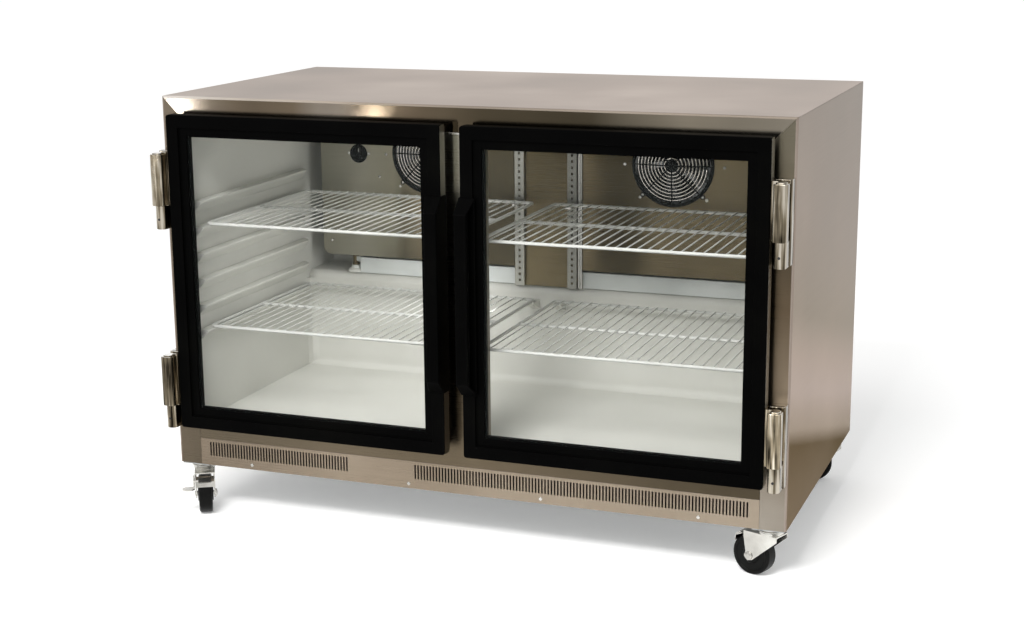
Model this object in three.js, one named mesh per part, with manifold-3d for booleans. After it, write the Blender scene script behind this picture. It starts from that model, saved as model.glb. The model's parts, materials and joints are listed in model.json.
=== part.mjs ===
// Undercounter freezer with two glass doors, on casters.
// Millimetres, +Z up. The origin lies on the floor under the middle of the freezer's outer box.
import * as THREE from 'three';
import { mergeVertices } from 'three/addons/utils/BufferGeometryUtils.js';
import Module from 'manifold-3d';

const wasm = await Module();
wasm.setup();

// Gaps and working values shared by all pieces
const seatGap = 0.3;
const overrun = 20;
const fusion = 0.5;
const weldDistance = 1e-4;
const mirrored = -1;
const halfTurn = Math.PI;
const quarterTurn = Math.PI / 2;
const degree = Math.PI / 180;

// Cabinet shell
const cabinetWidth = 1219;
const cabinetDepth = 647;
const cabinetHeight = 728;
const sheet = 1.2;
const postWidth = 48;
const hemDepth = 14;
const bendRadius = 4;
const bendSteps = 3;
const mitreGap = 0.5;

// Front frame: sill above the grille and centre mullion
const sillTop = 106;
const mullionWidth = 90;
const mullionDepth = 28;
const frontClipWidth = 16;
const frontClipReach = 14;

// Grille panel with its two fields of upright slots
const grilleHeight = 54;
const grilleReturn = 10;
const slotPitch = 12.4;
const slotWidth = 6.2;
const slotHeight = 28;
const slotBottom = 19.5;
const slotMargin = 20;
const leftFieldShare = 0.29;
const rightFieldShare = 0.6;

// Back panel with its air slots and cord bush
const airSlotLength = 400;
const airSlotInner = 60;
const airSlotHeight = 9;
const airSlotPitch = 22;
const airSlotRows = 7;
const airSlotBottom = 70;
const bushRadius = 13;
const bushBore = 9;
const bushLength = 9;
const bushHeight = 34;
const bushEdgeGap = 109.5;
const bushSides = 10;

// Base pan and its caster plates
const panSheet = 2;
const panFlange = 34;
const panFront = 18;
const casterHeight = 100;
const kingpinSide = 33;
const kingpinFront = 34;
const kingpinBack = 36;
const plateLength = 62;
const plateWidth = 58;
const plateThickness = 3;
const raceRadius = 25;
const raceWaist = 20;
const raceHeight = 9;
const kingpinRadius = 5;
const raceSides = 10;
const pinSides = 6;

// Liner tub, its step and its shelf ledges
const linerWall = 3;
const floorLevel = 90;
const lowerBackPlace = 480;
const stepLevel = 300;
const upperBackPlace = 594;
const coveRadius = 16;
const coveSteps = 3;
const linerCorner = 20;
const linerCornerSteps = 2;
const ledgeCount = 6;
const ledgePitch = 51;
const lowestLedge = 272;
const ledgeReach = 20;
const ledgeDrop = 24;
const ledgeFront = 8;
const ledgeTaper = 14;
const restWidth = 18;
const restDepth = 22;
const restReach = 12;

// Foam round the liner, with the machine space left open behind and below it
const floorFoam = 35;
const lowerBackFoam = 45;

// Evaporator covers, centre panel and its shelf standards
const coverBottom = 339;
const coverInner = 75;
const coverSideGap = 38.2;
const coverDepth = 46;
const coverCorner = 14;
const coverCornerSteps = 3;
const standardPlace = 61;
const standardWidth = 26;
const standardDepth = 8;
const standardLip = 5;
const rearClipWidth = 12;
const clipThickness = 4;
const clipHook = 5;

// Evaporator fans: guard, blades and motor
const fanInset = 190;
const fanDrop = 109.4;
const fanHoleRadius = 79;
const guardBandOuter = 85;
const guardBandInner = 78;
const guardBandThickness = 3;
const guardRings = 4;
const guardWire = 2.8;
const guardSpoke = 3;
const guardRingSteps = 12;
const guardInnerRing = 16;
const guardHub = 9;
const guardDome = 8;
const guardSpokes = 8;
const guardSides = 16;
const bladeTip = 73;
const bladeHub = 17;
const bladeHubLength = 14;
const bladeBore = 3;
const bladeCount = 5;
const bladeSheet = 1.6;
const bladeSpread = 22 * degree;
const bladeRootPitch = 40 * degree;
const bladeSweep = 12 * degree;
const bladeSteps = 2;
const bladeGap = 6;
const bladeRootShare = 0.8;
const bladeBoreShare = 0.7;
const motorRadius = 27;
const motorLength = 24;
const motorShaft = 2.4;
const motorArms = 3;
const motorArmWidth = 10;
const motorArmThickness = 3;
const motorFootRadius = 92;
const motorSides = 12;

// Reach from root to tip, breadth and pitch of a fan blade at each station
const bladeStationShares = [
  [0, 0.7, 1],
  [0.6, 1, 0.55],
  [1, 0.84, 0.44],
];

// Evaporator coil, drip tray and drain
const coilDepth = 40;
const coilTrayGap = 12;
const coilHeadroom = 36.4;
const coilSideGap = 68.2;
const coilFins = 10;
const finSheet = 2;
const coilCore = 18;
const coilHanger = 14;
const trayHeight = 34;
const traySheet = 1.5;
const trayFront = 486;
const trayLeftGap = 122.2;
const trayRightGap = 46.2;
const drainReach = 14;
const drainPipeRadius = 6;
const drainNut = 12;
const drainNutHeight = 12;
const drainSides = 8;
const drainSpout = 10;

// Thermostat, between the left fan guard and its cover's outer edge
const thermostatShare = 0.47;
const thermostatDrop = 114.4;
const bezelRadius = 20;
const bezelBore = 15.5;
const bezelDepth = 16;
const bezelFlange = 2;
const bezelWall = 1.8;
const knobRadius = 13;
const knobReach = 14;
const knobGripWidth = 6;
const knobGripDepth = 5;
const knobSides = 14;
const knobGripShare = 0.9;

// Wire shelves
const shelfInner = 20;
const shelfSideGap = 10.2;
const shelfFront = 32;
const shelfBackGap = 24;
const shelfBar = 6.5;
const shelfWire = 3.6;
const shelfWires = 28;
const shelfWeld = 0.1;
const upperLedge = 4;
const lowerLedge = 0;

// Compressor
const compressorPlace = 150;
const compressorLength = 196;
const compressorDepth = 98;
const compressorHeight = 152;
const compressorFoot = 12;
const compressorFootPlate = 2.5;
const compressorFlange = 3;
const compressorSides = 10;
const compressorStub = 4;
const compressorStubHeight = 22;
const compressorWaistShare = 0.46;
const compressorFootRadius = 12;
const compressorCrownRadius = 40;
const compressorStudRadius = 7;
const studSides = 6;

// Condenser and its fan
const condenserLeft = 232;
const condenserRight = 420;
const condenserBottom = 8;
const condenserTop = 152;
const condenserFins = 9;
const condenserCore = 40;
const condenserPlate = 2;
const shroudPlace = 206;
const shroudSheet = 2;
const shroudHeight = 150;
const shroudFoot = 14;
const condenserFanHole = 46;
const condenserFanTip = 43;
const condenserMotorRadius = 22;
const condenserMotorLength = 34;
const machineSideGap = 5;

// Doors
const doorSideMargin = 34;
const doorTopMargin = 30;
const doorBottomMargin = 88;
const doorGap = 38;
const doorProud = 45;
const bezelFace = 24;
const bezelRail = 40;
const bezelSheet = 2.5;
const bezelRecess = 5;
const bezelLip = 2.5;
const bezelStep = 1.5;
const doorCorner = 5;
const doorCornerSteps = 3;
const shellBack = 20;
const shellEdge = 1.5;
const paneRebate = 30;
const spacerRail = 42;
const paneThickness = 4;
const gasketInset = 4;
const gasketBase = 25;
const gasketBaseDepth = 7;
const gasketBellows = 15;
const gasketBellowsInset = 8;

// Door handles
const handleReach = 73;
const handleDrop = 4;
const handleBaseLength = 364;
const handleFrontLength = 310;
const handleSideWall = 2.5;
const handleFrontWidth = 24;
const handleFrontWall = 4;
const handleBaseWidth = 32;
const handleBaseWall = 3;
const handleLip = 4;
const handleCap = 4;
const handleWrap = 24;
const handleEdgeRadius = 3;
const handleEdgeSteps = 2;

// Cam-lift hinges
const hingeAxisSide = 15;
const hingeAxisProud = 44;
const hingeHeight = 147;
const barrelHeight = 45;
const barrelRadius = 11;
const coverRadius = 12.5;
const coverProud = 16;
const coverEdgeRadius = 5;
const hingeSides = 4;
const hingeEdgeSteps = 2;
const hingeCap = 12;
const hingeSplit = 3.4;
const hingeNeck = 2.2;
const frameLeafDepth = 22;
const frameLeafWidth = 28;
const frameLeafEdge = 2;
const hingePin = 4.3;
const hingePinReach = 60;
const hingePinSides = 8;
const hingeBore = 5.1;
const camGap = 0.4;
const doorLeafPlate = 2;
const doorLeafDepth = 23;
const doorLeafWeb = 10;
const upperHingeDrop = 218;
const lowerHingeDrop = 1;

// Casters
const wheelRadius = 38;
const wheelWidth = 30;
const wheelShoulder = 4;
const wheelHubRadius = 14;
const wheelDish = 3;
const wheelBore = 5.6;
const wheelSides = 16;
const wheelTrail = 34;
const forkGap = 2;
const forkSheet = 2.5;
const forkRaceRadius = 23;
const forkRaceHeight = 4;
const forkRaceClearance = 1;
const forkHead = 22;
const forkTail = 12;
const forkEye = 10;
const forkEyeSteps = 3;
const axleRadius = 5;
const axleHeadRadius = 8;
const axleHead = 4;
const axleNut = 1.5;
const axleSides = 8;
const casterHeadings = {
  front_left: -60 * degree,
  front_right: 160 * degree,
  rear_left: -10 * degree,
  rear_right: 190 * degree,
};

// Brake levers on the front casters
const brakePivotForward = 14;
const brakePivotDrop = 36;
const brakeAngle = 52 * degree;
const brakeClearance = 5;
const brakePadLength = 12;
const brakePadWidth = 26;
const brakePadThickness = 3;
const brakeArmSheet = 2.5;
const brakeArmGap = 0.6;
const brakePedalReach = 22;
const brakePedalLength = 20;
const brakePedalDrop = 17;
const brakePedalCut = 6;
const brakeEye = 7;
const brakeEyeSteps = 4;
const brakePinRadius = 3;
const brakePinPlay = 0.4;
const brakePinHead = 1.5;
const brakePinHeadRadius = 5;

// Places worked out from the driving sizes
const halfWidth = cabinetWidth / 2;
const openingHalf = halfWidth - postWidth;
const headerBottom = cabinetHeight - postWidth;
const roofUnder = cabinetHeight - sheet - seatGap;
const backInner = cabinetDepth - sheet - seatGap;
const frontPlace = (handleReach - cabinetDepth) / 2;
const linerHalf = openingHalf - seatGap - linerWall;
const linerRoof = headerBottom - seatGap - linerWall;
const linerFront = seatGap;
const coverTop = linerRoof - seatGap;
const coverOuter = linerHalf - coverSideGap;
const fanPlace = coverInner + fanInset;
const fanHeight = coverTop - fanDrop;
const guardEdge = fanPlace + guardBandOuter;
const thermostatPlace = guardEdge + (coverOuter - guardEdge) * thermostatShare;
const thermostatHeight = coverTop - thermostatDrop;
const trayLevel = stepLevel + seatGap;
const coilHalfLength = linerHalf - coilSideGap;
const coilBottom = trayLevel + trayHeight + coilTrayGap;
const coilTop = coverTop - coilHeadroom;
const shelfOuter = linerHalf - shelfSideGap;
const shelfBack = lowerBackPlace - shelfBackGap;
const ledgeBack = lowerBackPlace - linerCorner;
const foamBottom = floorLevel - linerWall - floorFoam;
const machineFront = lowerBackPlace + linerWall + lowerBackFoam;
const machineTop = stepLevel - linerWall - floorFoam;
const doorInner = doorGap / 2;
const doorOuter = halfWidth - doorSideMargin;
const doorTop = cabinetHeight - doorTopMargin;
const handleMiddle = (doorBottomMargin + doorTop) / 2 - handleDrop;
const upperHingeBottom = doorTop - upperHingeDrop;
const lowerHingeBottom = doorBottomMargin - lowerHingeDrop;
const hingeAxis = [halfWidth - hingeAxisSide, -hingeAxisProud];
const axleDrop = casterHeight - wheelRadius;
const wheelHalf = wheelWidth / 2;
const legInner = wheelHalf + forkGap;
const legOuter = legInner + forkSheet;
const raceBottom = -plateThickness - raceHeight;
const forkTop = raceBottom - seatGap;
const bridgeTop = forkTop - forkRaceHeight;

// Materials
const stainless = { color: 0x9a8f82, roughness: 0.34, metalness: 0.9 };
const brightSteel = { color: 0xb4aca2, roughness: 0.28, metalness: 0.95 };
const galvanised = { color: 0x8f9294, roughness: 0.5, metalness: 0.8 };
const chromed = { color: 0xcfc8c0, roughness: 0.14, metalness: 1 };
const blackPlastic = { color: 0x0c0c0b, roughness: 0.38, metalness: 0 };
const blackRubber = { color: 0x111110, roughness: 0.7, metalness: 0 };
const whitePlastic = { color: 0xc9ccc6, roughness: 0.42, metalness: 0 };
const whiteWire = { color: 0xdcddd8, roughness: 0.45, metalness: 0 };
const aluminiumSheet = { color: 0xaeb0b0, roughness: 0.35, metalness: 0.9 };
const copperTube = { color: 0xa8653c, roughness: 0.4, metalness: 0.9 };
const foamYellow = { color: 0xd6c79a, roughness: 0.9, metalness: 0 };
const paneGlass = { color: 0xe6ece8, roughness: 0.04, metalness: 0, transparent: true, opacity: 0.25 };
const blackSteel = { color: 0x191919, roughness: 0.45, metalness: 0.5 };
const greyPlastic = { color: 0x9ea3a1, roughness: 0.5, metalness: 0 };

// A closed three.js geometry becomes a solid that can be joined and cut
function toSolid(geometry) {
  const bare = geometry.clone();
  bare.deleteAttribute('normal');
  bare.deleteAttribute('uv');
  const welded = mergeVertices(bare, weldDistance);
  const corners = welded.index.array;
  const kept = [];
  for (let at = 0; at < corners.length; at += 3) {
    const [a, b, c] = [corners[at], corners[at + 1], corners[at + 2]];
    if (a !== b && b !== c && c !== a) kept.push(a, b, c);
  }
  const mesh = new wasm.Mesh({
    numProp: 3,
    vertProperties: new Float32Array(welded.attributes.position.array),
    triVerts: new Uint32Array(kept),
  });
  return new wasm.Manifold(mesh);
}

function toGeometry(solid) {
  const { vertProperties, triVerts } = solid.getMesh();
  const geometry = new THREE.BufferGeometry();
  geometry.setAttribute('position', new THREE.BufferAttribute(vertProperties, 3));
  geometry.setIndex(new THREE.BufferAttribute(triVerts, 1));
  geometry.computeVertexNormals();
  return geometry;
}

function joined(solids) {
  return solids.reduce((sum, solid) => sum.add(solid));
}

function without(solid, cuts) {
  return cuts.reduce((rest, cut) => rest.subtract(cut), solid);
}

// Prisms: an outline of [a, b] points pushed along one axis between two places, with holes right through
function prismGeometry(outline, from, to) {
  const shape = new THREE.Shape(outline.map(([a, b]) => new THREE.Vector2(a, b)));
  const prism = new THREE.ExtrudeGeometry(shape, { depth: to - from, bevelEnabled: false });
  return prism.translate(0, 0, from);
}

const upright = new THREE.Matrix4();
const unitX = new THREE.Vector3(1, 0, 0);
const unitY = new THREE.Vector3(0, 1, 0);
const unitZ = new THREE.Vector3(0, 0, 1);
const towardsX = new THREE.Matrix4().makeBasis(unitY, unitZ, unitX);
const towardsY = new THREE.Matrix4().makeBasis(unitX, unitZ, unitY.clone().negate());

function prism(turn, outline, from, to, holes) {
  const body = toSolid(prismGeometry(outline, from, to).applyMatrix4(turn));
  return without(body, holes.map((hole) =>
    toSolid(prismGeometry(hole, from - overrun, to + overrun).applyMatrix4(turn))));
}

function alongZ(outline, from, to, holes = []) {
  return prism(upright, outline, from, to, holes);
}

function alongX(outline, from, to, holes = []) {
  return prism(towardsX, outline, from, to, holes);
}

function alongY(outline, from, to, holes = []) {
  return prism(towardsY, outline, -to, -from, holes);
}

function block([x0, x1], [y0, y1], [z0, z1]) {
  const box = new THREE.BoxGeometry(x1 - x0, y1 - y0, z1 - z0);
  return toSolid(box.translate((x0 + x1) / 2, (y0 + y1) / 2, (z0 + z1) / 2));
}

// A body of revolution about Z from [radius, height] points, in either order round the section
function turned(profile, sides) {
  const points = profile.map(([radius, height]) => new THREE.Vector2(radius, height));
  if (THREE.ShapeUtils.isClockWise(points)) points.reverse();
  if (points.every((point) => point.x > 0)) points.push(points[0]);
  return new THREE.LatheGeometry(points, sides).rotateX(quarterTurn);
}

function rod(radius, from, to, sides) {
  return turned([[0, from], [radius, from], [radius, to], [0, to]], sides);
}

function facingY(geometry) {
  return geometry.rotateX(-quarterTurn);
}

function facingX(geometry) {
  return geometry.rotateY(quarterTurn);
}

function moved(geometry, x, y, z) {
  return toSolid(geometry.translate(x, y, z));
}

// Outlines
function rectangle(a0, a1, b0, b1) {
  return [[a0, b0], [a1, b0], [a1, b1], [a0, b1]];
}

function arc(centre, radius, from, to, steps) {
  return Array.from({ length: steps + 1 }, (_, step) => {
    const angle = from + ((to - from) * step) / steps;
    return [centre[0] + radius * Math.cos(angle), centre[1] + radius * Math.sin(angle)];
  });
}

function roundedRectangle(a0, a1, b0, b1, radius, steps) {
  return [
    ...arc([a1 - radius, b0 + radius], radius, -quarterTurn, 0, steps),
    ...arc([a1 - radius, b1 - radius], radius, 0, quarterTurn, steps),
    ...arc([a0 + radius, b1 - radius], radius, quarterTurn, halfTurn, steps),
    ...arc([a0 + radius, b0 + radius], radius, halfTurn, halfTurn + quarterTurn, steps),
  ];
}

// The freezer: every piece hangs in a group whose origin is the middle of the cabinet's front lower edge
const freezer = new THREE.Group();
const cabinet = new THREE.Group();
cabinet.position.set(0, frontPlace, casterHeight);
freezer.add(cabinet);

function addPiece(name, solid, finish, parent = cabinet) {
  const mesh = new THREE.Mesh(toGeometry(solid), new THREE.MeshStandardMaterial(finish));
  mesh.name = name;
  parent.add(mesh);
  return mesh;
}

function addPair(nameLeft, nameRight, solid, finish) {
  addPiece(nameRight, solid, finish);
  addPiece(nameLeft, solid, finish).scale.x = mirrored;
}

// Side panel: a sheet folded into the front post, with its hem and its mitred top
function sidePanel() {
  const inner = halfWidth - sheet;
  const bend = [halfWidth - bendRadius, bendRadius];
  const outline = [
    [halfWidth, backInner],
    [inner, backInner],
    ...arc(bend, bendRadius - sheet, 0, -quarterTurn, bendSteps),
    [openingHalf + sheet, sheet],
    [openingHalf + sheet, hemDepth],
    [openingHalf, hemDepth],
    [openingHalf, 0],
    ...arc(bend, bendRadius, -quarterTurn, 0, bendSteps),
  ];
  const panel = alongZ(outline, 0, cabinetHeight);
  const mitre = alongY([
    [openingHalf - overrun, headerBottom - overrun - mitreGap],
    [halfWidth + overrun, cabinetHeight + overrun - mitreGap],
    [openingHalf - overrun, cabinetHeight + overrun],
  ], -overrun, hemDepth + seatGap);
  const roofSpace = block(
    [0, halfWidth + overrun], [hemDepth, cabinetDepth], [roofUnder, cabinetHeight + overrun]);
  return without(panel, [mitre, roofSpace]);
}

// Worktop: a sheet folded down at the front into the header, mitred at both ends
function topPanel() {
  const bend = [bendRadius, cabinetHeight - bendRadius];
  const outline = [
    [cabinetDepth, cabinetHeight - sheet],
    [cabinetDepth, cabinetHeight],
    ...arc(bend, bendRadius, quarterTurn, halfTurn, bendSteps),
    [0, headerBottom],
    [hemDepth, headerBottom],
    [hemDepth, headerBottom + sheet],
    [sheet, headerBottom + sheet],
    ...arc(bend, bendRadius - sheet, halfTurn, quarterTurn, bendSteps),
  ];
  const panel = alongX(outline, -halfWidth, halfWidth);
  const mitres = [1, mirrored].map((side) => alongY([
    [side * (openingHalf - overrun), headerBottom - overrun],
    [side * (halfWidth + overrun), cabinetHeight + overrun],
    [side * (halfWidth + overrun), headerBottom - overrun],
  ], -overrun, hemDepth + seatGap));
  return without(panel, mitres);
}

// Back panel: slots for the condenser's air and a bush where the supply lead leaves
function backPanel() {
  const slots = [-airSlotInner - airSlotLength, airSlotInner].flatMap((left) =>
    Array.from({ length: airSlotRows }, (_, row) => {
      const bottom = airSlotBottom + row * airSlotPitch;
      return rectangle(left, left + airSlotLength, bottom, bottom + airSlotHeight);
    }));
  const panel = alongY(
    rectangle(-halfWidth, halfWidth, 0, roofUnder), cabinetDepth - sheet, cabinetDepth, slots);
  const bushPlace = halfWidth - bushEdgeGap;
  const bush = moved(facingY(rod(bushRadius, 0, bushLength, bushSides)),
    bushPlace, cabinetDepth - bushLength, bushHeight);
  const bore = moved(facingY(rod(bushBore, -overrun, overrun, bushSides)),
    bushPlace, cabinetDepth, bushHeight);
  return panel.add(bush).subtract(bore);
}

// Base pan: floor of the machine space with upturned sides, caster plates and ball races
function basePan() {
  const half = halfWidth - sheet - seatGap;
  const outline = [
    [-half, panFlange], [-half, 0], [half, 0], [half, panFlange],
    [half - panSheet, panFlange], [half - panSheet, panSheet], [-half + panSheet, panSheet],
    [-half + panSheet, panFlange],
  ];
  const pan = alongY(outline, panFront, backInner);
  const plates = casterPlaces().flatMap(([x, y]) => {
    const across = [x - plateWidth / 2, x + plateWidth / 2];
    const plate = block(across, [y - plateLength / 2, y + plateLength / 2], [-plateThickness, -seatGap]);
    const seat = block(across, [Math.max(panFront, y - plateLength / 2), y + plateLength / 2],
      [-plateThickness / 2, panSheet / 2]);
    const race = moved(turned([
      [0, -plateThickness + fusion],
      [raceRadius, -plateThickness + fusion],
      [raceRadius, -plateThickness - raceHeight / 3],
      [raceWaist, -plateThickness - raceHeight / 2],
      [raceRadius - forkRaceHeight / 2, raceBottom],
      [0, raceBottom],
    ], raceSides), x, y, 0);
    const pin = moved(rod(kingpinRadius, bridgeTop - forkSheet, raceBottom + fusion, pinSides), x, y, 0);
    return [plate, seat, race, pin];
  });
  return joined([pan, ...plates]);
}

function casterPlaces() {
  const side = halfWidth - kingpinSide;
  const back = cabinetDepth - kingpinBack;
  return [[-side, kingpinFront], [side, kingpinFront], [-side, back], [side, back]];
}

// Front frame: the sill and the centre mullion, with the clips that hold the shelves' front corners
function frontFrame() {
  const half = openingHalf - seatGap;
  const bottom = grilleHeight + seatGap;
  const sill = alongX([
    [0, bottom], [hemDepth, bottom], [hemDepth, bottom + sheet], [sheet, bottom + sheet],
    [sheet, sillTop - sheet], [hemDepth, sillTop - sheet], [hemDepth, sillTop], [0, sillTop],
  ], -half, half);
  const side = mullionWidth / 2;
  const mullion = alongZ(rectangle(-side, side, 0, mullionDepth),
    sillTop - sheet / 2, headerBottom - seatGap,
    [rectangle(-side + sheet, side - sheet, sheet, mullionDepth - sheet)]);
  const clips = shelfLevels().flatMap((level) => [1, mirrored].map((turn) => {
    const near = turn * (shelfInner - frontClipWidth / 4);
    const far = turn * (shelfInner + frontClipWidth);
    return block([Math.min(near, far), Math.max(near, far)],
      [mullionDepth - sheet / 2, mullionDepth + frontClipReach], [level - clipThickness, level]);
  }));
  return joined([sill, mullion, ...clips]);
}

// Grille: one folded strip with two fields of upright slots for the machine space's air
function grillePanel() {
  const half = openingHalf - seatGap;
  const free = half - slotMargin;
  const count = (share) => Math.floor((2 * free * share) / slotPitch);
  const lefts = Array.from({ length: count(leftFieldShare) }, (_, at) => at * slotPitch - free);
  const rights = Array.from({ length: count(rightFieldShare) },
    (_, at) => free - slotWidth - at * slotPitch);
  const slots = [...lefts, ...rights].map((place) =>
    rectangle(place, place + slotWidth, slotBottom, slotBottom + slotHeight));
  const front = alongY(rectangle(-half, half, 0, grilleHeight), 0, sheet, slots);
  const lips = [0, grilleHeight - sheet].map((bottom) =>
    block([-half, half], [sheet / 2, grilleReturn], [bottom, bottom + sheet]));
  return joined([front, ...lips]);
}

// Liner: a moulded tub with a step over the machine space and six shelf ledges on each side wall
function linerProfile(grow) {
  const lip = hemDepth + seatGap + linerWall - grow;
  const cove = coveRadius + grow;
  const step = coveRadius - grow;
  const front = grow > 0 ? linerFront : -overrun;
  const lipLevel = sillTop + seatGap + linerWall - grow;
  const bottom = floorLevel - grow;
  const lowerBack = lowerBackPlace + grow;
  const ledge = stepLevel - grow;
  const back = upperBackPlace + grow;
  const roof = linerRoof + grow;
  return [
    [front, lipLevel],
    [lip, lipLevel],
    [lip, bottom],
    ...arc([lowerBackPlace - coveRadius, floorLevel + coveRadius], cove, -quarterTurn, 0, coveSteps),
    ...arc([lowerBack + step, ledge - step], step, halfTurn, quarterTurn, coveSteps),
    ...arc([back - cove, ledge + cove], cove, -quarterTurn, 0, coveSteps),
    [back, roof],
    [front, roof],
  ];
}

// The tub's solid, grown by a wall or a gap: its side view, cut to plans with rounded rear corners
function tubSolid(grow) {
  const half = linerHalf + grow;
  const round = linerCorner + grow;
  const knee = stepLevel - coveRadius - grow;
  const plan = (back) => [
    [-half, -overrun],
    [half, -overrun],
    ...arc([half - round, back + grow - round], round, 0, quarterTurn, linerCornerSteps),
    ...arc([round - half, back + grow - round], round, quarterTurn, halfTurn, linerCornerSteps),
  ];
  const lower = alongZ(plan(lowerBackPlace), -overrun, knee);
  const upper = alongZ(plan(upperBackPlace), knee, cabinetHeight);
  return alongX(linerProfile(grow), -half, half).intersect(lower.add(upper));
}

function innerLiner() {
  const shell = tubSolid(linerWall).subtract(tubSolid(0));
  const notchHalf = mullionWidth / 2 + seatGap;
  const notch = block([-notchHalf, notchHalf], [-overrun, mullionDepth + seatGap],
    [sillTop - sheet, headerBottom + overrun]);
  const ledges = Array.from({ length: ledgeCount }, (_, at) => ledgeSolid(ledgeLevel(at), 1));
  const others = Array.from({ length: ledgeCount }, (_, at) => ledgeSolid(ledgeLevel(at), mirrored));
  const rests = [1, mirrored].map((side) => shelfRest(side, ledgeLevel(lowerLedge)));
  return joined([shell.subtract(notch), ...ledges, ...others, ...rests]);
}

// A rest on the lower back wall for the inner rear corner of a lower shelf
function shelfRest(side, level) {
  const near = side * shelfInner;
  const far = side * (shelfInner + restWidth);
  return alongX([
    [lowerBackPlace + linerWall / 2, level - restDepth], [lowerBackPlace + linerWall / 2, level],
    [shelfBack - restReach, level], [shelfBack - restReach, level - clipThickness],
  ], Math.min(near, far), Math.max(near, far));
}

// A shelf ledge: flat on top, sloping back into the wall below, tapered at its rear end
function ledgeSolid(level, side) {
  const wall = linerHalf + linerWall / 2;
  const tip = linerHalf - ledgeReach;
  const bar = alongY([
    [side * wall, level],
    [side * tip, level],
    [side * tip, level - ledgeTaper / 4],
    [side * linerHalf, level - ledgeDrop],
    [side * wall, level - ledgeDrop],
  ], ledgeFront, ledgeBack);
  const taper = alongZ([
    [side * (tip - overrun), ledgeBack - ledgeTaper - overrun],
    [side * (linerHalf + overrun), ledgeBack + overrun],
    [side * (tip - overrun), ledgeBack + overrun],
  ], level - ledgeDrop - overrun, level + overrun);
  return bar.subtract(taper);
}

function ledgeLevel(index) {
  return lowestLedge + index * ledgePitch;
}

function shelfLevels() {
  return [lowerLedge, upperLedge].map((index) => ledgeLevel(index));
}

// Foam: fills the shell round the liner, with the machine space and the air way below it left open
function foamInsulation() {
  const half = halfWidth - sheet - seatGap;
  const bulk = block(
    [-half, half], [hemDepth + seatGap, backInner - seatGap], [foamBottom, roofUnder - seatGap]);
  const tub = tubSolid(linerWall + seatGap);
  const tubMouth = block([-openingHalf - sheet, openingHalf + sheet],
    [-overrun, hemDepth + seatGap + linerWall], [sillTop - sheet, headerBottom + sheet]);
  const machine = block([-half - overrun, half + overrun], [machineFront, cabinetDepth + overrun],
    [-overrun, machineTop]);
  return without(bulk, [tub, tubMouth, machine]);
}

// Evaporator cover: a folded sheet with a fan hole, rounded at its lower outer corner
function coverOutline(inset) {
  const outer = coverOuter - inset;
  const bottom = coverBottom + inset;
  const radius = coverCorner - inset;
  const inner = inset > 0 ? coverInner - overrun : coverInner;
  const top = inset > 0 ? coverTop + overrun : coverTop;
  return [
    [inner, bottom],
    ...arc([outer - radius, bottom + radius], radius, -quarterTurn, 0, coverCornerSteps),
    [outer, top],
    [inner, top],
  ];
}

function evaporatorCover(extraCuts) {
  const shell = alongY(coverOutline(0), lowerBackPlace, lowerBackPlace + coverDepth);
  const hollow = alongY(coverOutline(sheet), lowerBackPlace + sheet, lowerBackPlace + coverDepth + overrun);
  const hole = moved(facingY(rod(fanHoleRadius, -overrun, overrun, guardSides)),
    fanPlace, lowerBackPlace, fanHeight);
  return without(shell, [hollow, hole, ...extraCuts]);
}

// Centre panel between the covers, with its two shelf standards and their clips
function centrePanel() {
  const half = coverInner - seatGap;
  const bottom = stepLevel + seatGap;
  const front = lowerBackPlace + seatGap;
  const panel = alongY(rectangle(-half, half, bottom, coverTop), front, front + sheet);
  const standards = [-standardPlace, standardPlace].map((place) => {
    const left = place - standardWidth / 2;
    const right = place + standardWidth / 2;
    const face = front - standardDepth;
    return alongZ([
      [left, front + sheet / 2], [left, face], [right, face], [right, front + sheet / 2],
      [right - sheet, front + sheet / 2], [right - sheet, face + sheet],
      [left + sheet, face + sheet], [left + sheet, front + sheet / 2],
    ], bottom, coverTop - standardLip);
  });
  const level = ledgeLevel(upperLedge);
  const back = front - standardDepth + sheet / 2;
  const reach = shelfBack - shelfBar - clipHook;
  const clips = [-standardPlace, standardPlace].map((place) => alongX([
    [back, level - clipThickness * 2], [back, level], [reach, level], [reach, level - clipThickness],
  ], place - rearClipWidth / 2, place + rearClipWidth / 2));
  return joined([panel, ...standards, ...clips]);
}

// Fan guard: rings of wire welded on radial spokes that rise towards the middle, in a flat outer band
function fanGuard() {
  const band = turned(rectangle(guardBandInner, guardBandOuter, 0, guardBandThickness), guardSides);
  const slope = Math.atan2(guardDome, guardBandInner - guardHub);
  const height = (radius) => guardSpoke / 2 + Math.tan(slope) * (guardBandInner - radius);
  const hub = rod(guardHub, height(guardHub) - guardSpoke / 2, height(guardHub) + guardSpoke, guardSpokes);
  const ringStep = (guardBandInner - guardInnerRing) / guardRings;
  const rings = Array.from({ length: guardRings }, (_, at) => {
    const radius = guardInnerRing + at * ringStep;
    const seat = height(radius) + guardSpoke / 2;
    return toSolid(turned([
      [radius - guardWire / 2, seat], [radius + guardWire / 2, seat], [radius, seat + guardWire],
    ], guardRingSteps));
  });
  const spokes = Array.from({ length: guardSpokes }, (_, at) => {
    const spoke = prismGeometry([[-guardSpoke / 2, 0], [guardSpoke / 2, 0], [0, guardSpoke]],
      0, (guardBandInner - guardHub + fusion) / Math.cos(slope));
    spoke.applyMatrix4(towardsX);
    spoke.rotateY(slope);
    spoke.translate(guardHub - fusion, 0, height(guardHub) - guardSpoke / 2);
    spoke.rotateZ((at * 2 * halfTurn) / guardSpokes);
    return toSolid(spoke);
  });
  return joined([toSolid(band), toSolid(hub), ...rings, ...spokes]);
}

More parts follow.
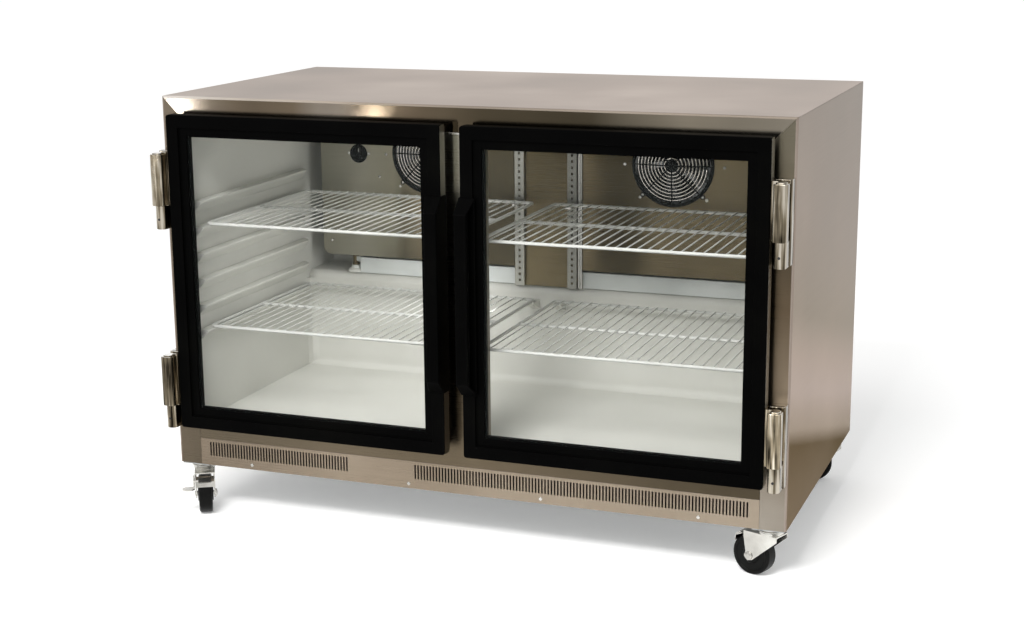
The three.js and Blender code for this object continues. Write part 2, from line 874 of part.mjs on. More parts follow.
// A thin sheet lofted through rows of points, closed by its own thickness along Z
function loftedSheet(rows, thickness) {
  const across = rows[0].length;
  const faces = [mirrored, 1].flatMap((side) =>
    rows.flat().flatMap(([x, y, z]) => [x, y, z + (side * thickness) / 2]));
  const low = (row, step) => row * across + step;
  const high = (row, step) => low(row + rows.length, step);
  const corners = [];
  const quad = (a, b, c, d) => corners.push(a, b, c, a, c, d);
  const lastRow = rows.length - 1;
  const lastStep = across - 1;
  for (let row = 0; row < lastRow; row += 1) {
    for (let step = 0; step < lastStep; step += 1) {
      quad(high(row, step), high(row + 1, step), high(row + 1, step + 1), high(row, step + 1));
      quad(low(row, step), low(row, step + 1), low(row + 1, step + 1), low(row + 1, step));
    }
    quad(low(row, 0), low(row + 1, 0), high(row + 1, 0), high(row, 0));
    quad(low(row + 1, lastStep), low(row, lastStep), high(row, lastStep), high(row + 1, lastStep));
  }
  for (let step = 0; step < lastStep; step += 1) {
    quad(low(0, step + 1), low(0, step), high(0, step), high(0, step + 1));
    quad(low(lastRow, step), low(lastRow, step + 1), high(lastRow, step + 1), high(lastRow, step));
  }
  const sheetGeometry = new THREE.BufferGeometry();
  sheetGeometry.setAttribute('position', new THREE.Float32BufferAttribute(faces, 3));
  return sheetGeometry.setIndex(corners);
}

// One fan blade: steep at its root, flatter and swept forward towards its tip
function fanBlade(tip) {
  const root = bladeHub * bladeRootShare;
  const rows = bladeStationShares.map(([reach, breadth, twist]) => {
    const radius = root + (tip - root) * reach;
    const rise = radius * Math.tan(bladeRootPitch * twist);
    return Array.from({ length: bladeSteps + 1 }, (_, step) => {
      const spread = bladeSpread * breadth * ((2 * step) / bladeSteps - 1);
      const turn = spread + bladeSweep * reach;
      return [radius * Math.cos(turn), radius * Math.sin(turn), rise * spread];
    });
  });
  return loftedSheet(rows, bladeSheet);
}

// Fan blades on a hub that turns on the motor's shaft
function fanBlades(tip) {
  const hub = toSolid(rod(bladeHub, 0, bladeHubLength, motorSides));
  const blades = Array.from({ length: bladeCount }, (_, at) => {
    const blade = fanBlade(tip);
    blade.translate(0, 0, bladeHubLength / 2);
    blade.rotateZ((at * 2 * halfTurn) / bladeCount);
    return toSolid(blade);
  });
  const bore = toSolid(rod(bladeBore, -overrun, bladeHubLength * bladeBoreShare, axleSides));
  return joined([hub, ...blades]).subtract(bore);
}

// Fan motor: a can with its shaft, on arms whose feet reach out to the sheet that carries it
function fanMotor(radius, length, footRadius, reach) {
  const can = toSolid(rod(radius, -length, 0, motorSides));
  const shaft = toSolid(rod(motorShaft, -fusion, bladeHubLength * bladeBoreShare, axleSides));
  const arms = Array.from({ length: motorArms }, (_, at) => {
    const arm = prismGeometry([
      [0, -length], [footRadius, -length], [footRadius, reach], [footRadius - motorArmThickness, reach],
      [footRadius - motorArmThickness, motorArmThickness - length], [0, motorArmThickness - length],
    ], -motorArmWidth / 2, motorArmWidth / 2);
    arm.rotateX(quarterTurn);
    arm.rotateZ((at * 2 * halfTurn) / motorArms + quarterTurn);
    return toSolid(arm);
  });
  return joined([can, shaft, ...arms]);
}

// A finned coil: fins across a core, seen from above as a comb on both faces
function finBlock(length, depth, core, fins) {
  const pitch = (length - finSheet) / (fins - 1);
  const teeth = (sign) => Array.from({ length: fins }, (_, at) => {
    const left = sign > 0 ? at * pitch : (fins - 1 - at) * pitch;
    const outer = depth / 2 + (sign * depth) / 2;
    const inner = depth / 2 + (sign * core) / 2;
    const [first, last] = sign > 0 ? [left, left + finSheet] : [left + finSheet, left];
    return [[first, inner], [first, outer], [last, outer], [last, inner]];
  }).flat();
  return [...teeth(1), ...teeth(mirrored)];
}

function evaporatorCoil() {
  const front = upperBackPlace - seatGap - coilDepth;
  const outline = finBlock(coilHalfLength * 2, coilDepth, coilCore, coilFins)
    .map(([x, y]) => [x - coilHalfLength, y + front]);
  const coil = alongZ(outline, coilBottom, coilTop);
  const hangers = [-coilHalfLength, coilHalfLength - coilHanger].map((left) =>
    block([left, left + coilHanger], [front, front + coilDepth], [coilTop - fusion, coverTop]));
  return joined([coil, ...hangers]);
}

// Drip tray under the coil, with its spout and drain pipe at the left end
function dripTray() {
  const bottom = trayLevel;
  const back = upperBackPlace - coveRadius;
  const trayLeft = linerHalf - trayLeftGap;
  const trayRight = linerHalf - trayRightGap;
  const drainPlace = trayLeft + drainReach;
  const tray = block([-trayLeft, trayRight], [trayFront, back], [bottom, bottom + trayHeight]);
  const hollow = block([-trayLeft + traySheet, trayRight - traySheet],
    [trayFront + traySheet, back - traySheet], [bottom + traySheet, bottom + trayHeight + overrun]);
  const middle = trayFront + drainNut;
  const spout = block([-drainPlace, -trayLeft + traySheet / 2],
    [middle - drainPipeRadius, middle + drainPipeRadius],
    [bottom + trayHeight - drainSpout, bottom + trayHeight]);
  const pipe = moved(rod(drainPipeRadius, bottom, bottom + trayHeight, drainSides), -drainPlace, middle, 0);
  const nut = moved(rod(drainNut, bottom, bottom + drainNutHeight, drainSides), -drainPlace, middle, 0);
  return joined([tray.subtract(hollow), spout, pipe, nut]);
}

// Thermostat: a cup-shaped bezel set in the left cover, with a knob inside it
function thermostatBezel() {
  const cup = bezelDepth;
  return toSolid(facingY(turned([
    [0, cup], [bezelBore + bezelWall, cup], [bezelBore + bezelWall, 0],
    [bezelRadius, 0], [bezelRadius, -bezelFlange], [bezelBore, -bezelFlange],
    [bezelBore, cup - bezelWall], [0, cup - bezelWall],
  ], knobSides)));
}

function thermostatKnob() {
  const seat = bezelDepth - bezelWall - seatGap;
  const disc = toSolid(facingY(rod(knobRadius, seat - knobReach + knobGripDepth, seat, knobSides)));
  const grip = block([-knobGripWidth / 2, knobGripWidth / 2],
    [seat - knobReach, seat - knobReach + knobGripDepth + fusion],
    [-knobRadius * knobGripShare, knobRadius * knobGripShare]);
  return disc.add(grip);
}

// Wire shelf: a field of thin wires from front to back in a heavier frame, over a middle cross bar
function wireShelf(level) {
  const bottom = level + seatGap;
  const top = bottom + shelfBar;
  const back = shelfBack;
  const field = [shelfInner + shelfBar, shelfOuter - shelfBar, shelfFront + shelfBar, back - shelfBar];
  const pitch = (field[1] - field[0] + shelfWire) / (shelfWires + 1);
  const gaps = Array.from({ length: shelfWires + 1 }, (_, at) => {
    const left = field[0] + at * pitch;
    return rectangle(left, left + pitch - shelfWire, field[2], field[3]);
  });
  const wires = alongZ(rectangle(shelfInner, shelfOuter, shelfFront, back), top - shelfWire, top, gaps);
  const frame = alongZ(rectangle(shelfInner, shelfOuter, shelfFront, back), bottom, top - shelfWire,
    [rectangle(...field)]);
  const middle = (shelfFront + back) / 2;
  const bar = block([shelfInner + shelfBar / 2, shelfOuter - shelfBar / 2],
    [middle - shelfBar / 2, middle + shelfBar / 2], [bottom, top - shelfWire - shelfWeld]);
  return joined([wires, frame, bar]);
}

// Compressor: a welded shell on a foot plate, with its suction and discharge stubs
function compressor() {
  const radius = compressorLength / 2;
  const waist = compressorHeight * compressorWaistShare;
  const profile = [
    [0, 0],
    ...arc([radius - compressorFootRadius, compressorFootRadius],
      compressorFootRadius, -quarterTurn, 0, bendSteps),
    [radius, waist], [radius + compressorFlange, waist],
    [radius + compressorFlange, waist + compressorFlange], [radius, waist + compressorFlange],
    ...arc([radius - compressorCrownRadius, compressorHeight - compressorFoot - compressorCrownRadius],
      compressorCrownRadius, 0, quarterTurn, bendSteps),
    [0, compressorHeight - compressorFoot],
  ];
  const breadthScale = compressorDepth / compressorLength;
  const shell = turned(profile, compressorSides);
  shell.scale(1, breadthScale, 1);
  const middle = (machineFront + backInner) / 2;
  const body = moved(shell, -compressorPlace, middle, panSheet + seatGap + compressorFoot);
  const half = compressorDepth / 2;
  const seat = panSheet + seatGap;
  const footTop = seat + compressorFoot;
  const foot = block([-compressorPlace - radius, -compressorPlace + radius],
    [middle - half, middle + half], [footTop - compressorFootPlate, footTop + fusion]);
  const studs = [mirrored, 1].flatMap((sx) => [mirrored, 1].map((sy) =>
    moved(rod(compressorStudRadius, 0, compressorFoot, studSides),
      -compressorPlace + sx * (radius - compressorFoot), middle + sy * (half - compressorFoot), seat)));
  const stubs = [mirrored, 1].map((side) =>
    moved(rod(compressorStub, 0, compressorStubHeight, studSides),
      -compressorPlace + (side * radius) / 2, middle, compressorHeight - compressorStub));
  return joined([body, foot, ...studs, ...stubs]);
}

// Condenser: a fin block between two end plates that stand on the base pan
function condenserCoil() {
  const front = machineFront + machineSideGap;
  const depth = backInner - machineSideGap - front;
  const outline = finBlock(condenserRight - condenserLeft, depth, condenserCore, condenserFins)
    .map(([x, y]) => [x + condenserLeft, y + front]);
  const fins = alongZ(outline, condenserBottom, condenserTop);
  const ends = [condenserLeft, condenserRight - condenserPlate].map((left) =>
    block([left, left + condenserPlate], [front, front + depth],
      [panSheet + seatGap, condenserTop + fusion]));
  return joined([fins, ...ends]);
}

// Condenser fan: a shroud plate beside the condenser that carries the motor on its arms
function condenserFanMotor() {
  const front = machineFront + machineSideGap;
  const back = backInner - machineSideGap;
  const middle = (front + back) / 2;
  const height = condenserFanHeight();
  const bottom = panSheet + seatGap;
  const plate = block(
    [shroudPlace - shroudSheet, shroudPlace], [front, back], [bottom, bottom + shroudHeight]);
  const foot = block(
    [shroudPlace - shroudFoot, shroudPlace], [front, back], [bottom, bottom + shroudSheet]);
  const hole = moved(facingX(rod(condenserFanHole, -overrun, overrun, guardSides)),
    shroudPlace, middle, height);
  const motor = fanMotor(condenserMotorRadius, condenserMotorLength,
    condenserFanHole + motorArmThickness, bladeGap + bladeHubLength + shroudSheet);
  const seat = shroudPlace - shroudSheet - bladeGap - bladeHubLength;
  const mount = toGeometry(motor);
  return plate.add(foot).subtract(hole).add(moved(facingX(mount), seat, middle, height));
}

function condenserFanHeight() {
  return panSheet + seatGap + shroudHeight / 2;
}

// Doors. Each door is drawn as the right one; the left one is its mirror image.
function doorRing(outerInset, innerInset, from, to, round = 0) {
  const sides = (inset) =>
    [doorInner + inset, doorOuter - inset, doorBottomMargin + inset, doorTop - inset];
  const outer = sides(outerInset);
  const inner = sides(innerInset);
  const outline = round > 0 ? roundedRectangle(...outer, round, doorCornerSteps) : rectangle(...outer);
  return alongY(outline, from, to, [rectangle(...inner)]);
}

function doorBezel() {
  const front = -doorProud;
  const back = front + bezelRecess + bezelLip;
  return joined([
    doorRing(0, bezelFace, front, front + bezelSheet, doorCorner),
    doorRing(bezelFace - bezelStep, bezelFace, front, back),
    doorRing(bezelFace - bezelStep, bezelRail, front + bezelRecess, back),
  ]);
}

const bezelBack = -doorProud + bezelRecess + bezelLip + seatGap;
const spacerFront = bezelBack + paneThickness + seatGap;
const spacerBack = -shellBack - paneThickness - seatGap;

function doorShell() {
  return joined([
    doorRing(0, shellEdge, -doorProud + bezelSheet + seatGap, -shellBack, doorCorner),
    doorRing(shellEdge / 2, paneRebate, bezelBack, -shellBack),
    doorRing(paneRebate - shellEdge, spacerRail, spacerFront, spacerBack),
  ]);
}

function doorPane(from) {
  const inset = paneRebate + seatGap;
  return block([doorInner + inset, doorOuter - inset], [from, from + paneThickness],
    [doorBottomMargin + inset, doorTop - inset]);
}

function doorGasket() {
  const base = -shellBack + seatGap;
  return joined([
    doorRing(gasketInset, gasketInset + gasketBase, base, base + gasketBaseDepth),
    doorRing(gasketBellowsInset, gasketBellowsInset + gasketBellows,
      base + gasketBaseDepth - fusion, -seatGap),
  ]);
}

// Handle: a channel hooked round the door's inner edge, open towards the glass, with bevelled closed ends
function doorHandle() {
  const side = doorInner - seatGap;
  const outer = side - handleSideWall;
  const base = -doorProud - seatGap;
  const wrap = -doorProud + handleWrap;
  const front = -handleReach;
  const section = [
    [side, wrap], [outer, wrap],
    ...arc([outer + handleEdgeRadius, front + handleEdgeRadius],
      handleEdgeRadius, halfTurn, halfTurn + quarterTurn, handleEdgeSteps),
    [outer + handleFrontWidth, front],
    [outer + handleBaseWidth, base], [side, base],
  ];
  const hollow = [
    [side, base - handleBaseWall], [side, front + handleFrontWall],
    [outer + handleFrontWidth - handleLip, front + handleFrontWall],
    [outer + handleFrontWidth - handleLip, front + handleFrontWall + handleLip],
    [outer + handleBaseWidth + overrun, front + handleFrontWall + handleLip],
    [outer + handleBaseWidth + overrun, base - handleBaseWall],
  ];
  const bevel = (cap) => {
    const baseHalf = handleBaseLength / 2 - cap;
    const frontHalf = handleFrontLength / 2 - cap;
    return [
      [wrap + overrun, handleMiddle - baseHalf], [wrap + overrun, handleMiddle + baseHalf],
      [base, handleMiddle + baseHalf], [front, handleMiddle + frontHalf],
      [front, handleMiddle - frontHalf], [base, handleMiddle - baseHalf],
    ];
  };
  const across = [outer - overrun, outer + handleBaseWidth + overrun * 2];
  const span = [handleMiddle - handleBaseLength, handleMiddle + handleBaseLength];
  const body = alongZ(section, ...span).intersect(alongX(bevel(0), ...across));
  const grip = alongZ(hollow, ...span).intersect(alongX(bevel(handleCap), ...across));
  return body.subtract(grip);
}

// Hinge frame leaf: bolted on the post, with the lower barrel and the pin that the door turns on
function hingeFrameLeaf(bottom) {
  const [x, y] = hingeAxis;
  const outer = halfWidth - frameLeafEdge;
  const leaf = alongZ(roundedRectangle(outer - frameLeafWidth, outer, -frameLeafDepth, -seatGap,
    bendRadius / 2, bendSteps), bottom, bottom + hingeHeight);
  const barrel = alongZ([
    [x - barrelRadius, -frameLeafDepth / 2], [x - barrelRadius, y],
    ...arc([x, y], barrelRadius, halfTurn, halfTurn * 2, hingeSides),
    [x + barrelRadius, -frameLeafDepth / 2],
  ], bottom, bottom + barrelHeight);
  const pin = moved(rod(hingePin, 0, hingePinReach + fusion, hingePinSides),
    x, y, bottom + barrelHeight - fusion);
  return joined([leaf, barrel, pin]);
}

// The outline of a hinge's cover round its pin, drawn in by a step
function hingeCoverOutline(step) {
  const [x, y] = hingeAxis;
  const reach = coverRadius - step;
  const corner = coverEdgeRadius;
  const front = y - coverProud + step + corner;
  return [
    ...arc([x, y], reach, 0, halfTurn, hingeSides),
    ...arc([x - reach + corner, front], corner, halfTurn, halfTurn + quarterTurn, hingeEdgeSteps),
    ...arc([x + reach - corner, front], corner, -quarterTurn, 0, hingeEdgeSteps),
  ];
}

// Hinge door leaf: the cover round the pin, its cap above a narrow neck, and the plate on the door's edge
function hingeDoorLeaf(bottom) {
  const [x, y] = hingeAxis;
  const from = bottom + barrelHeight + camGap;
  const to = bottom + hingeHeight;
  const split = to - hingeCap;
  const cover = joined([
    alongZ(hingeCoverOutline(0), from, split - hingeSplit),
    alongZ(hingeCoverOutline(hingeNeck), split - hingeSplit - fusion, split + fusion),
    alongZ(hingeCoverOutline(0), split, to),
  ]);
  const edge = doorOuter + seatGap;
  const plateFront = bezelSheet - doorProud;
  const plate = block([edge, edge + doorLeafPlate], [plateFront, plateFront + doorLeafDepth], [from, to]);
  const web = block([edge, x - coverRadius / 2],
    [y - doorLeafWeb / 2 + bezelSheet, y + doorLeafWeb / 2 + bezelSheet], [from, to]);
  const bore = moved(rod(hingeBore, -overrun, hingePinReach + seatGap, hingePinSides), x, y,
    bottom + barrelHeight);
  return joined([cover, plate, web]).subtract(bore);
}

// Caster pieces are drawn with the kingpin on the origin and the wheel trailing along +X
function casterFork(riveted) {
  const bore = kingpinRadius + forkRaceClearance;
  const race = toSolid(turned([
    [bore, forkTop], [forkRaceRadius, forkTop], [forkRaceRadius - forkRaceClearance, bridgeTop - fusion],
    [bore, bridgeTop - fusion],
  ], raceSides));
  const legEnd = wheelTrail + forkTail;
  const folded = alongX([
    [-legOuter, bridgeTop], [-legOuter, -casterHeight],
    [-legInner, -casterHeight], [-legInner, bridgeTop - forkSheet],
    [legInner, bridgeTop - forkSheet], [legInner, -casterHeight],
    [legOuter, -casterHeight], [legOuter, bridgeTop],
  ], -forkHead - overrun, legEnd + overrun);
  const side = alongY([
    [-forkHead, bridgeTop + overrun], [-forkHead, bridgeTop - forkEye],
    ...arc([wheelTrail, -axleDrop], forkEye, -halfTurn + quarterTurn / 2, quarterTurn / 2, forkEyeSteps),
    [legEnd, bridgeTop - forkEye], [legEnd, bridgeTop + overrun],
  ], -legOuter - overrun, legOuter + overrun);
  const hole = toSolid(rod(bore, bridgeTop - overrun, bridgeTop + overrun, raceSides));
  const bolt = moved(facingY(turned([
    [0, -legOuter - axleNut], [axleRadius, -legOuter - axleNut], [axleRadius, legOuter - fusion],
    [axleHeadRadius, legOuter - fusion], [axleHeadRadius, legOuter + axleHead / 2],
    [axleHeadRadius / 2, legOuter + axleHead], [0, legOuter + axleHead],
  ], axleSides)), wheelTrail, 0, -axleDrop);
  const rivets = riveted ? [brakeRivet()] : [];
  return joined([joined([folded.intersect(side), race]).subtract(hole), bolt, ...rivets]);
}

// The headed rivet on a front fork's leg that its brake lever turns on
function brakeRivet() {
  const neck = legOuter + brakeArmGap + brakeArmSheet + brakePinPlay;
  return moved(facingY(turned([
    [0, -neck - brakePinHead], [brakePinHeadRadius, -neck - brakePinHead], [brakePinHeadRadius, -neck],
    [brakePinRadius, -neck], [brakePinRadius, fusion - legOuter], [0, fusion - legOuter],
  ], axleSides)), brakePivotForward, 0, -brakePivotDrop);
}

function casterWheel() {
  const shoulder = wheelRadius - wheelShoulder;
  const web = wheelHalf - wheelDish;
  return moved(facingY(turned([
    [wheelBore, -wheelHalf], [wheelHubRadius, -wheelHalf], [wheelHubRadius + wheelDish, -web],
    [shoulder, -web], [wheelRadius, wheelShoulder * 2 - wheelHalf],
    [wheelRadius, wheelHalf - wheelShoulder * 2], [shoulder, web],
    [wheelHubRadius + wheelDish, web], [wheelHubRadius, wheelHalf], [wheelBore, wheelHalf],
  ], wheelSides)), wheelTrail, 0, -axleDrop);
}

// Brake lever: a pad over the tread, an arm outside the fork's leg and an eight-sided foot pedal
function brakeLever() {
  const inner = wheelRadius + brakeClearance;
  const pad = prismGeometry(
    rectangle(inner, inner + brakePadThickness, -brakePadLength / 2, brakePadLength / 2),
    -brakePadWidth / 2, brakePadWidth / 2);
  pad.rotateX(quarterTurn);
  pad.rotateY(-brakeAngle);
  const padSolid = moved(pad, wheelTrail, 0, -axleDrop);
  const near = -legOuter - brakeArmGap;
  const far = near - brakeArmSheet;
  const padPlace = [wheelTrail + inner * Math.cos(brakeAngle), -axleDrop + inner * Math.sin(brakeAngle)];
  const pivot = [brakePivotForward, -brakePivotDrop];
  const tail = wheelTrail + forkTail + brakePadThickness;
  const arm = alongY([
    ...arc(pivot, brakeEye, quarterTurn, halfTurn + quarterTurn, brakeEyeSteps),
    [tail, padPlace[1] - brakePadLength],
    [padPlace[0] + brakePadThickness, padPlace[1] - brakePadLength / 2],
    [padPlace[0] + brakePadThickness, padPlace[1] + brakePadThickness],
  ], far, near);
  const bore = moved(facingY(rod(brakePinRadius + brakePinPlay, far - overrun, near + overrun, axleSides)),
    pivot[0], 0, pivot[1]);
  const link = block([padPlace[0] - fusion, padPlace[0] + brakePadThickness],
    [far + fusion, -brakePadWidth / 2 + fusion],
    [padPlace[1] - brakePadThickness, padPlace[1] + brakePadThickness]);
  const level = padPlace[1] - brakePedalDrop;
  const strut = block(
    [tail, padPlace[0] + brakePadThickness], [far, near], [level, padPlace[1]]);
  const outer = far - brakePedalReach;
  const left = tail;
  const right = tail + brakePedalLength;
  const pedal = alongZ([
    [left, near],
    [left, outer + brakePedalCut],
    [left + brakePedalCut, outer],
    [right - brakePedalCut, outer],
    [right, outer + brakePedalCut],
    [right, near - brakePedalCut],
    [right - brakePedalCut, near],
  ], level, level + brakeArmSheet);
  return joined([padSolid, arm, link, strut, pedal]).subtract(bore);
}

// Cabinet pieces
addPiece('top_panel', topPanel(), stainless);
addPair('left_side_panel', 'right_side_panel', sidePanel(), stainless);
addPiece('back_panel', backPanel(), galvanised);
addPiece('base_pan', basePan(), galvanised);
addPiece('foam_insulation', foamInsulation(), foamYellow);
addPiece('inner_liner', innerLiner(), whitePlastic);
addPiece('front_frame', frontFrame(), stainless);
addPiece('grille_panel', grillePanel(), stainless);

// Cold section
const thermostatCut = moved(facingY(rod(bezelBore + bezelWall + seatGap, -overrun, overrun, knobSides)),
  thermostatPlace, lowerBackPlace, thermostatHeight);
addPiece('right_evaporator_cover', evaporatorCover([]), stainless);
addPiece('left_evaporator_cover', evaporatorCover([thermostatCut]), stainless).scale.x = mirrored;
addPiece('center_back_panel', centrePanel(), stainless);

for (const [name, side] of [['left', mirrored], ['right', 1]]) {
  const guard = addPiece(`${name}_fan_guard`, fanGuard(), blackSteel);
  guard.rotation.x = quarterTurn;
  guard.position.set(side * fanPlace, lowerBackPlace - seatGap, fanHeight);
  const blades = addPiece(`${name}_fan_blades`, fanBlades(bladeTip), aluminiumSheet);
  blades.rotation.x = quarterTurn;
  blades.position.set(side * fanPlace, lowerBackPlace + bladeGap + bladeHubLength, fanHeight);
  const motor = addPiece(`${name}_fan_motor`,
    fanMotor(motorRadius, motorLength, motorFootRadius, motorFootReach()), blackSteel);
  motor.rotation.x = quarterTurn;
  motor.position.set(side * fanPlace, motorSeat(), fanHeight);
}

// The motor's front face lies just behind the blades' hub, and its feet reach the cover's sheet
function motorSeat() {
  return lowerBackPlace + bladeGap + bladeHubLength + seatGap;
}

function motorFootReach() {
  return motorSeat() - lowerBackPlace - sheet - seatGap;
}

addPiece('evaporator_coil', evaporatorCoil(), aluminiumSheet);
addPiece('drip_tray', dripTray(), greyPlastic);
const bezel = addPiece('thermostat_bezel', thermostatBezel(), blackPlastic);
bezel.position.set(-thermostatPlace, lowerBackPlace - seatGap, thermostatHeight);
const knob = addPiece('thermostat_knob', thermostatKnob(), blackPlastic);
knob.position.set(-thermostatPlace, lowerBackPlace - seatGap, thermostatHeight);

addPair('left_upper_shelf', 'right_upper_shelf', wireShelf(ledgeLevel(upperLedge)), whiteWire);
addPair('left_lower_shelf', 'right_lower_shelf', wireShelf(ledgeLevel(lowerLedge)), whiteWire);

// Machine space
addPiece('compressor', compressor(), blackSteel);
addPiece('condenser_coil', condenserCoil(), copperTube);
addPiece('condenser_fan_motor', condenserFanMotor(), galvanised);
const condenserBlades = addPiece('condenser_fan_blades', fanBlades(condenserFanTip), aluminiumSheet);
condenserBlades.rotation.y = quarterTurn;
condenserBlades.position.set(shroudPlace - shroudSheet - bladeGap - bladeHubLength + seatGap,
  (machineFront + backInner) / 2, condenserFanHeight());

// Doors
addPair('left_door_bezel', 'right_door_bezel', doorBezel(), blackPlastic);
addPair('left_door_shell', 'right_door_shell', doorShell(), brightSteel);
addPair('left_door_outer_pane', 'right_door_outer_pane', doorPane(bezelBack), paneGlass);
addPair('left_door_inner_pane', 'right_door_inner_pane',
  doorPane(spacerBack + seatGap), paneGlass);
addPair('left_door_gasket', 'right_door_gasket', doorGasket(), blackRubber);
addPair('left_door_handle', 'right_door_handle', doorHandle(), blackPlastic);

// Hinges
addPair('left_upper_hinge_frame_leaf', 'right_upper_hinge_frame_leaf',
  hingeFrameLeaf(upperHingeBottom), chromed);
addPair('left_lower_hinge_frame_leaf', 'right_lower_hinge_frame_leaf',
  hingeFrameLeaf(lowerHingeBottom), chromed);
addPair('left_upper_hinge_door_leaf', 'right_upper_hinge_door_leaf',
  hingeDoorLeaf(upperHingeBottom), chromed);
addPair('left_lower_hinge_door_leaf', 'right_lower_hinge_door_leaf',
  hingeDoorLeaf(lowerHingeBottom), chromed);

// Casters
Object.entries(casterHeadings).forEach(([corner, heading], at) => {
  const [x, y] = casterPlaces()[at];
  const swivel = new THREE.Group();
  swivel.position.set(x, y, 0);
  swivel.rotation.z = heading;
  cabinet.add(swivel);
  const braked = corner.startsWith('front');
  addPiece(`${corner}_caster_fork`, casterFork(braked), galvanised, swivel);
  addPiece(`${corner}_caster_wheel`, casterWheel(), blackRubber, swivel);
  if (braked) addPiece(`${corner}_brake_lever`, brakeLever(), galvanised, swivel);
});

export default freezer;
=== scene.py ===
"""Looks of the undercounter freezer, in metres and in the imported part's own frame.

x runs to the right, y to the back and z up.
"""
import json
import math

import bmesh
import bpy
from mathutils import Matrix, Vector


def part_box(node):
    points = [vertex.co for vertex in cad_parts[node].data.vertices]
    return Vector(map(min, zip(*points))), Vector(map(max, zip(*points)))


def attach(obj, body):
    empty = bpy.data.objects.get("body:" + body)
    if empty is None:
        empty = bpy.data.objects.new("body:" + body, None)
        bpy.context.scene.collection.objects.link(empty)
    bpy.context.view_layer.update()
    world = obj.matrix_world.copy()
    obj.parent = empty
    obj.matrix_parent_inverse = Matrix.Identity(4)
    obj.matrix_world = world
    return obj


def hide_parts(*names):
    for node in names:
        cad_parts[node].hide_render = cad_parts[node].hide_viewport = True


SIDES = {"left": -1.0, "right": 1.0}
MM = 0.001

# Camera of the photograph
CAMERA_PLACE = (1.17101, -3.12301, 1.16444)
CAMERA_TURN = (76.73134815, 0.44473583, 20.59878832)
CAMERA_LENS = 60.54

# Lamps, sky and floor
SKY_LEVEL = 0.66
SUN_LEVEL = 0.95
SUN_TURN = (46.0, 0.0, -14.0)
SUN_SOFTNESS = 30.0
FLOOR_HALF = 60.0
FLOOR_COLOUR = "#f7f7f6"
FLOOR_SEEN = 0.2
# name: place, aim, width, height, spread in degrees, watts
PANELS = {
    "front_panel_light": ((0.1, -2.3, 2.3), (0.0, 0.0, 0.42), 1.2, 0.7, 60.0, 12.0),
    "header_strip_light": ((-2.475, -5.2, 0.2), (-0.16, -0.29, 0.8), 0.022, 0.25, 180.0, 1.9),
    "header_left_light": ((-3.6, -5.2, 0.2), (-0.56, -0.29, 0.8), 0.1, 0.25, 180.0, 2.6),
    "left_bay_light": ((-0.12, 0.0, 0.74), (-0.56, 0.06, 0.36), 0.16, 0.3, 180.0, 0.26),
    "left_wall_light": ((-0.08, 0.0, 0.48), (-0.56, 0.06, 0.40), 0.1, 0.2, 180.0, 0.55),
    "right_bay_light": ((0.3, -0.12, 0.765), (0.3, 0.02, 0.2), 0.44, 0.12, 180.0, 0.16),
}
# Lamps that metal mirrors
MIRRORED = ("header_strip_light", "header_left_light")

# Outline smoothness
CREASE = 32.0
ROUND_SIDES = 40
WIRE_SIDES = 10

# Wire shelves
SHELF_BAR = 6.4 * MM
SHELF_WIRE = 2.8 * MM
SHELF_WIRES = 25
SHELF_CORNER = 9 * MM
SHELF_BUMP = 1.1 * MM
# How far the wires run out over the frame's bar, as a share of its radius
SHELF_WIRE_END = 0.35

# Fan guards, blades and motors
GUARD_BAND_INNER = 78 * MM
GUARD_BAND_OUTER = 85 * MM
GUARD_BAND_DEEP = 3 * MM
GUARD_DOME = 8 * MM
GUARD_SIDES = 64
GUARD_RINGS = 9
GUARD_RING_STEPS = 48
GUARD_FIRST_RING = 15 * MM
GUARD_WIRE = 2.3 * MM
GUARD_SPOKES = 8
GUARD_SPOKE_WIRE = 2.6 * MM
GUARD_SPOKE_STEPS = 8
GUARD_HUB = 10 * MM
GUARD_LUGS = 4
GUARD_LUG_REACH = 93 * MM
GUARD_LUG_HALF = 5 * MM
GUARD_LUG_DEEP = 1.4 * MM
GUARD_SCREW = (3 * MM, 1.4 * MM)
BLADES = 5
BLADE_TIP = 72.5 * MM
BLADE_SEAT = 213.2 * MM
BLADE_SHEET = 1.3 * MM
BLADE_ROOT_PITCH = 42.0
BLADE_TIP_PITCH = 20.0
BLADE_HALF_ANGLE = 27.0
# Width of a blade as a share of its half angle: at the root, what it gains, and how soon
BLADE_SWELL = (0.62, 0.38, 1.15)
BLADE_ROOT_SHARE = 0.9
BLADE_LEAN = 0.22
BLADE_CURL = 0.42
BLADE_STEPS = 10
HUB_RADIUS = 17 * MM
HUB_LENGTH = 14 * MM

# Grille slots
SLOT_PITCH = 6.2 * MM
SLOT_WIDTH = 3.1 * MM
SLOT_LOW = 119.5 * MM
SLOT_HIGH = 147.5 * MM
SLOT_EDGE = 20 * MM
SLOTS_LEFT = 49
SLOTS_RIGHT = 104
GRILLE_SCREWS = (-449 * MM, -113 * MM, 152.5 * MM, 451 * MM)
GRILLE_SCREW_LEVEL = 109 * MM
SHEET = 1.0 * MM

# Clip on the mullion: its low and high corners
MULLION_CLIP = ((-18 * MM, -290 * MM, 776.5 * MM), (18 * MM, -286 * MM, 779.6 * MM))

# Shelf standards on the centre panel
STANDARD_PLACES = (-61 * MM, 54 * MM)
STANDARD_WIDTH = 20 * MM
STANDARD_DEEP = 8 * MM
STANDARD_HOLE = (4.8 * MM, 5.4 * MM)
STANDARD_PITCH = 12.7 * MM
STANDARD_START = 0.7
STANDARD_LIP = 5 * MM
CENTRE_SHEET = 1.2 * MM
CLIP_HALF = 6 * MM
CLIP_DROP = (8 * MM, 4 * MM)

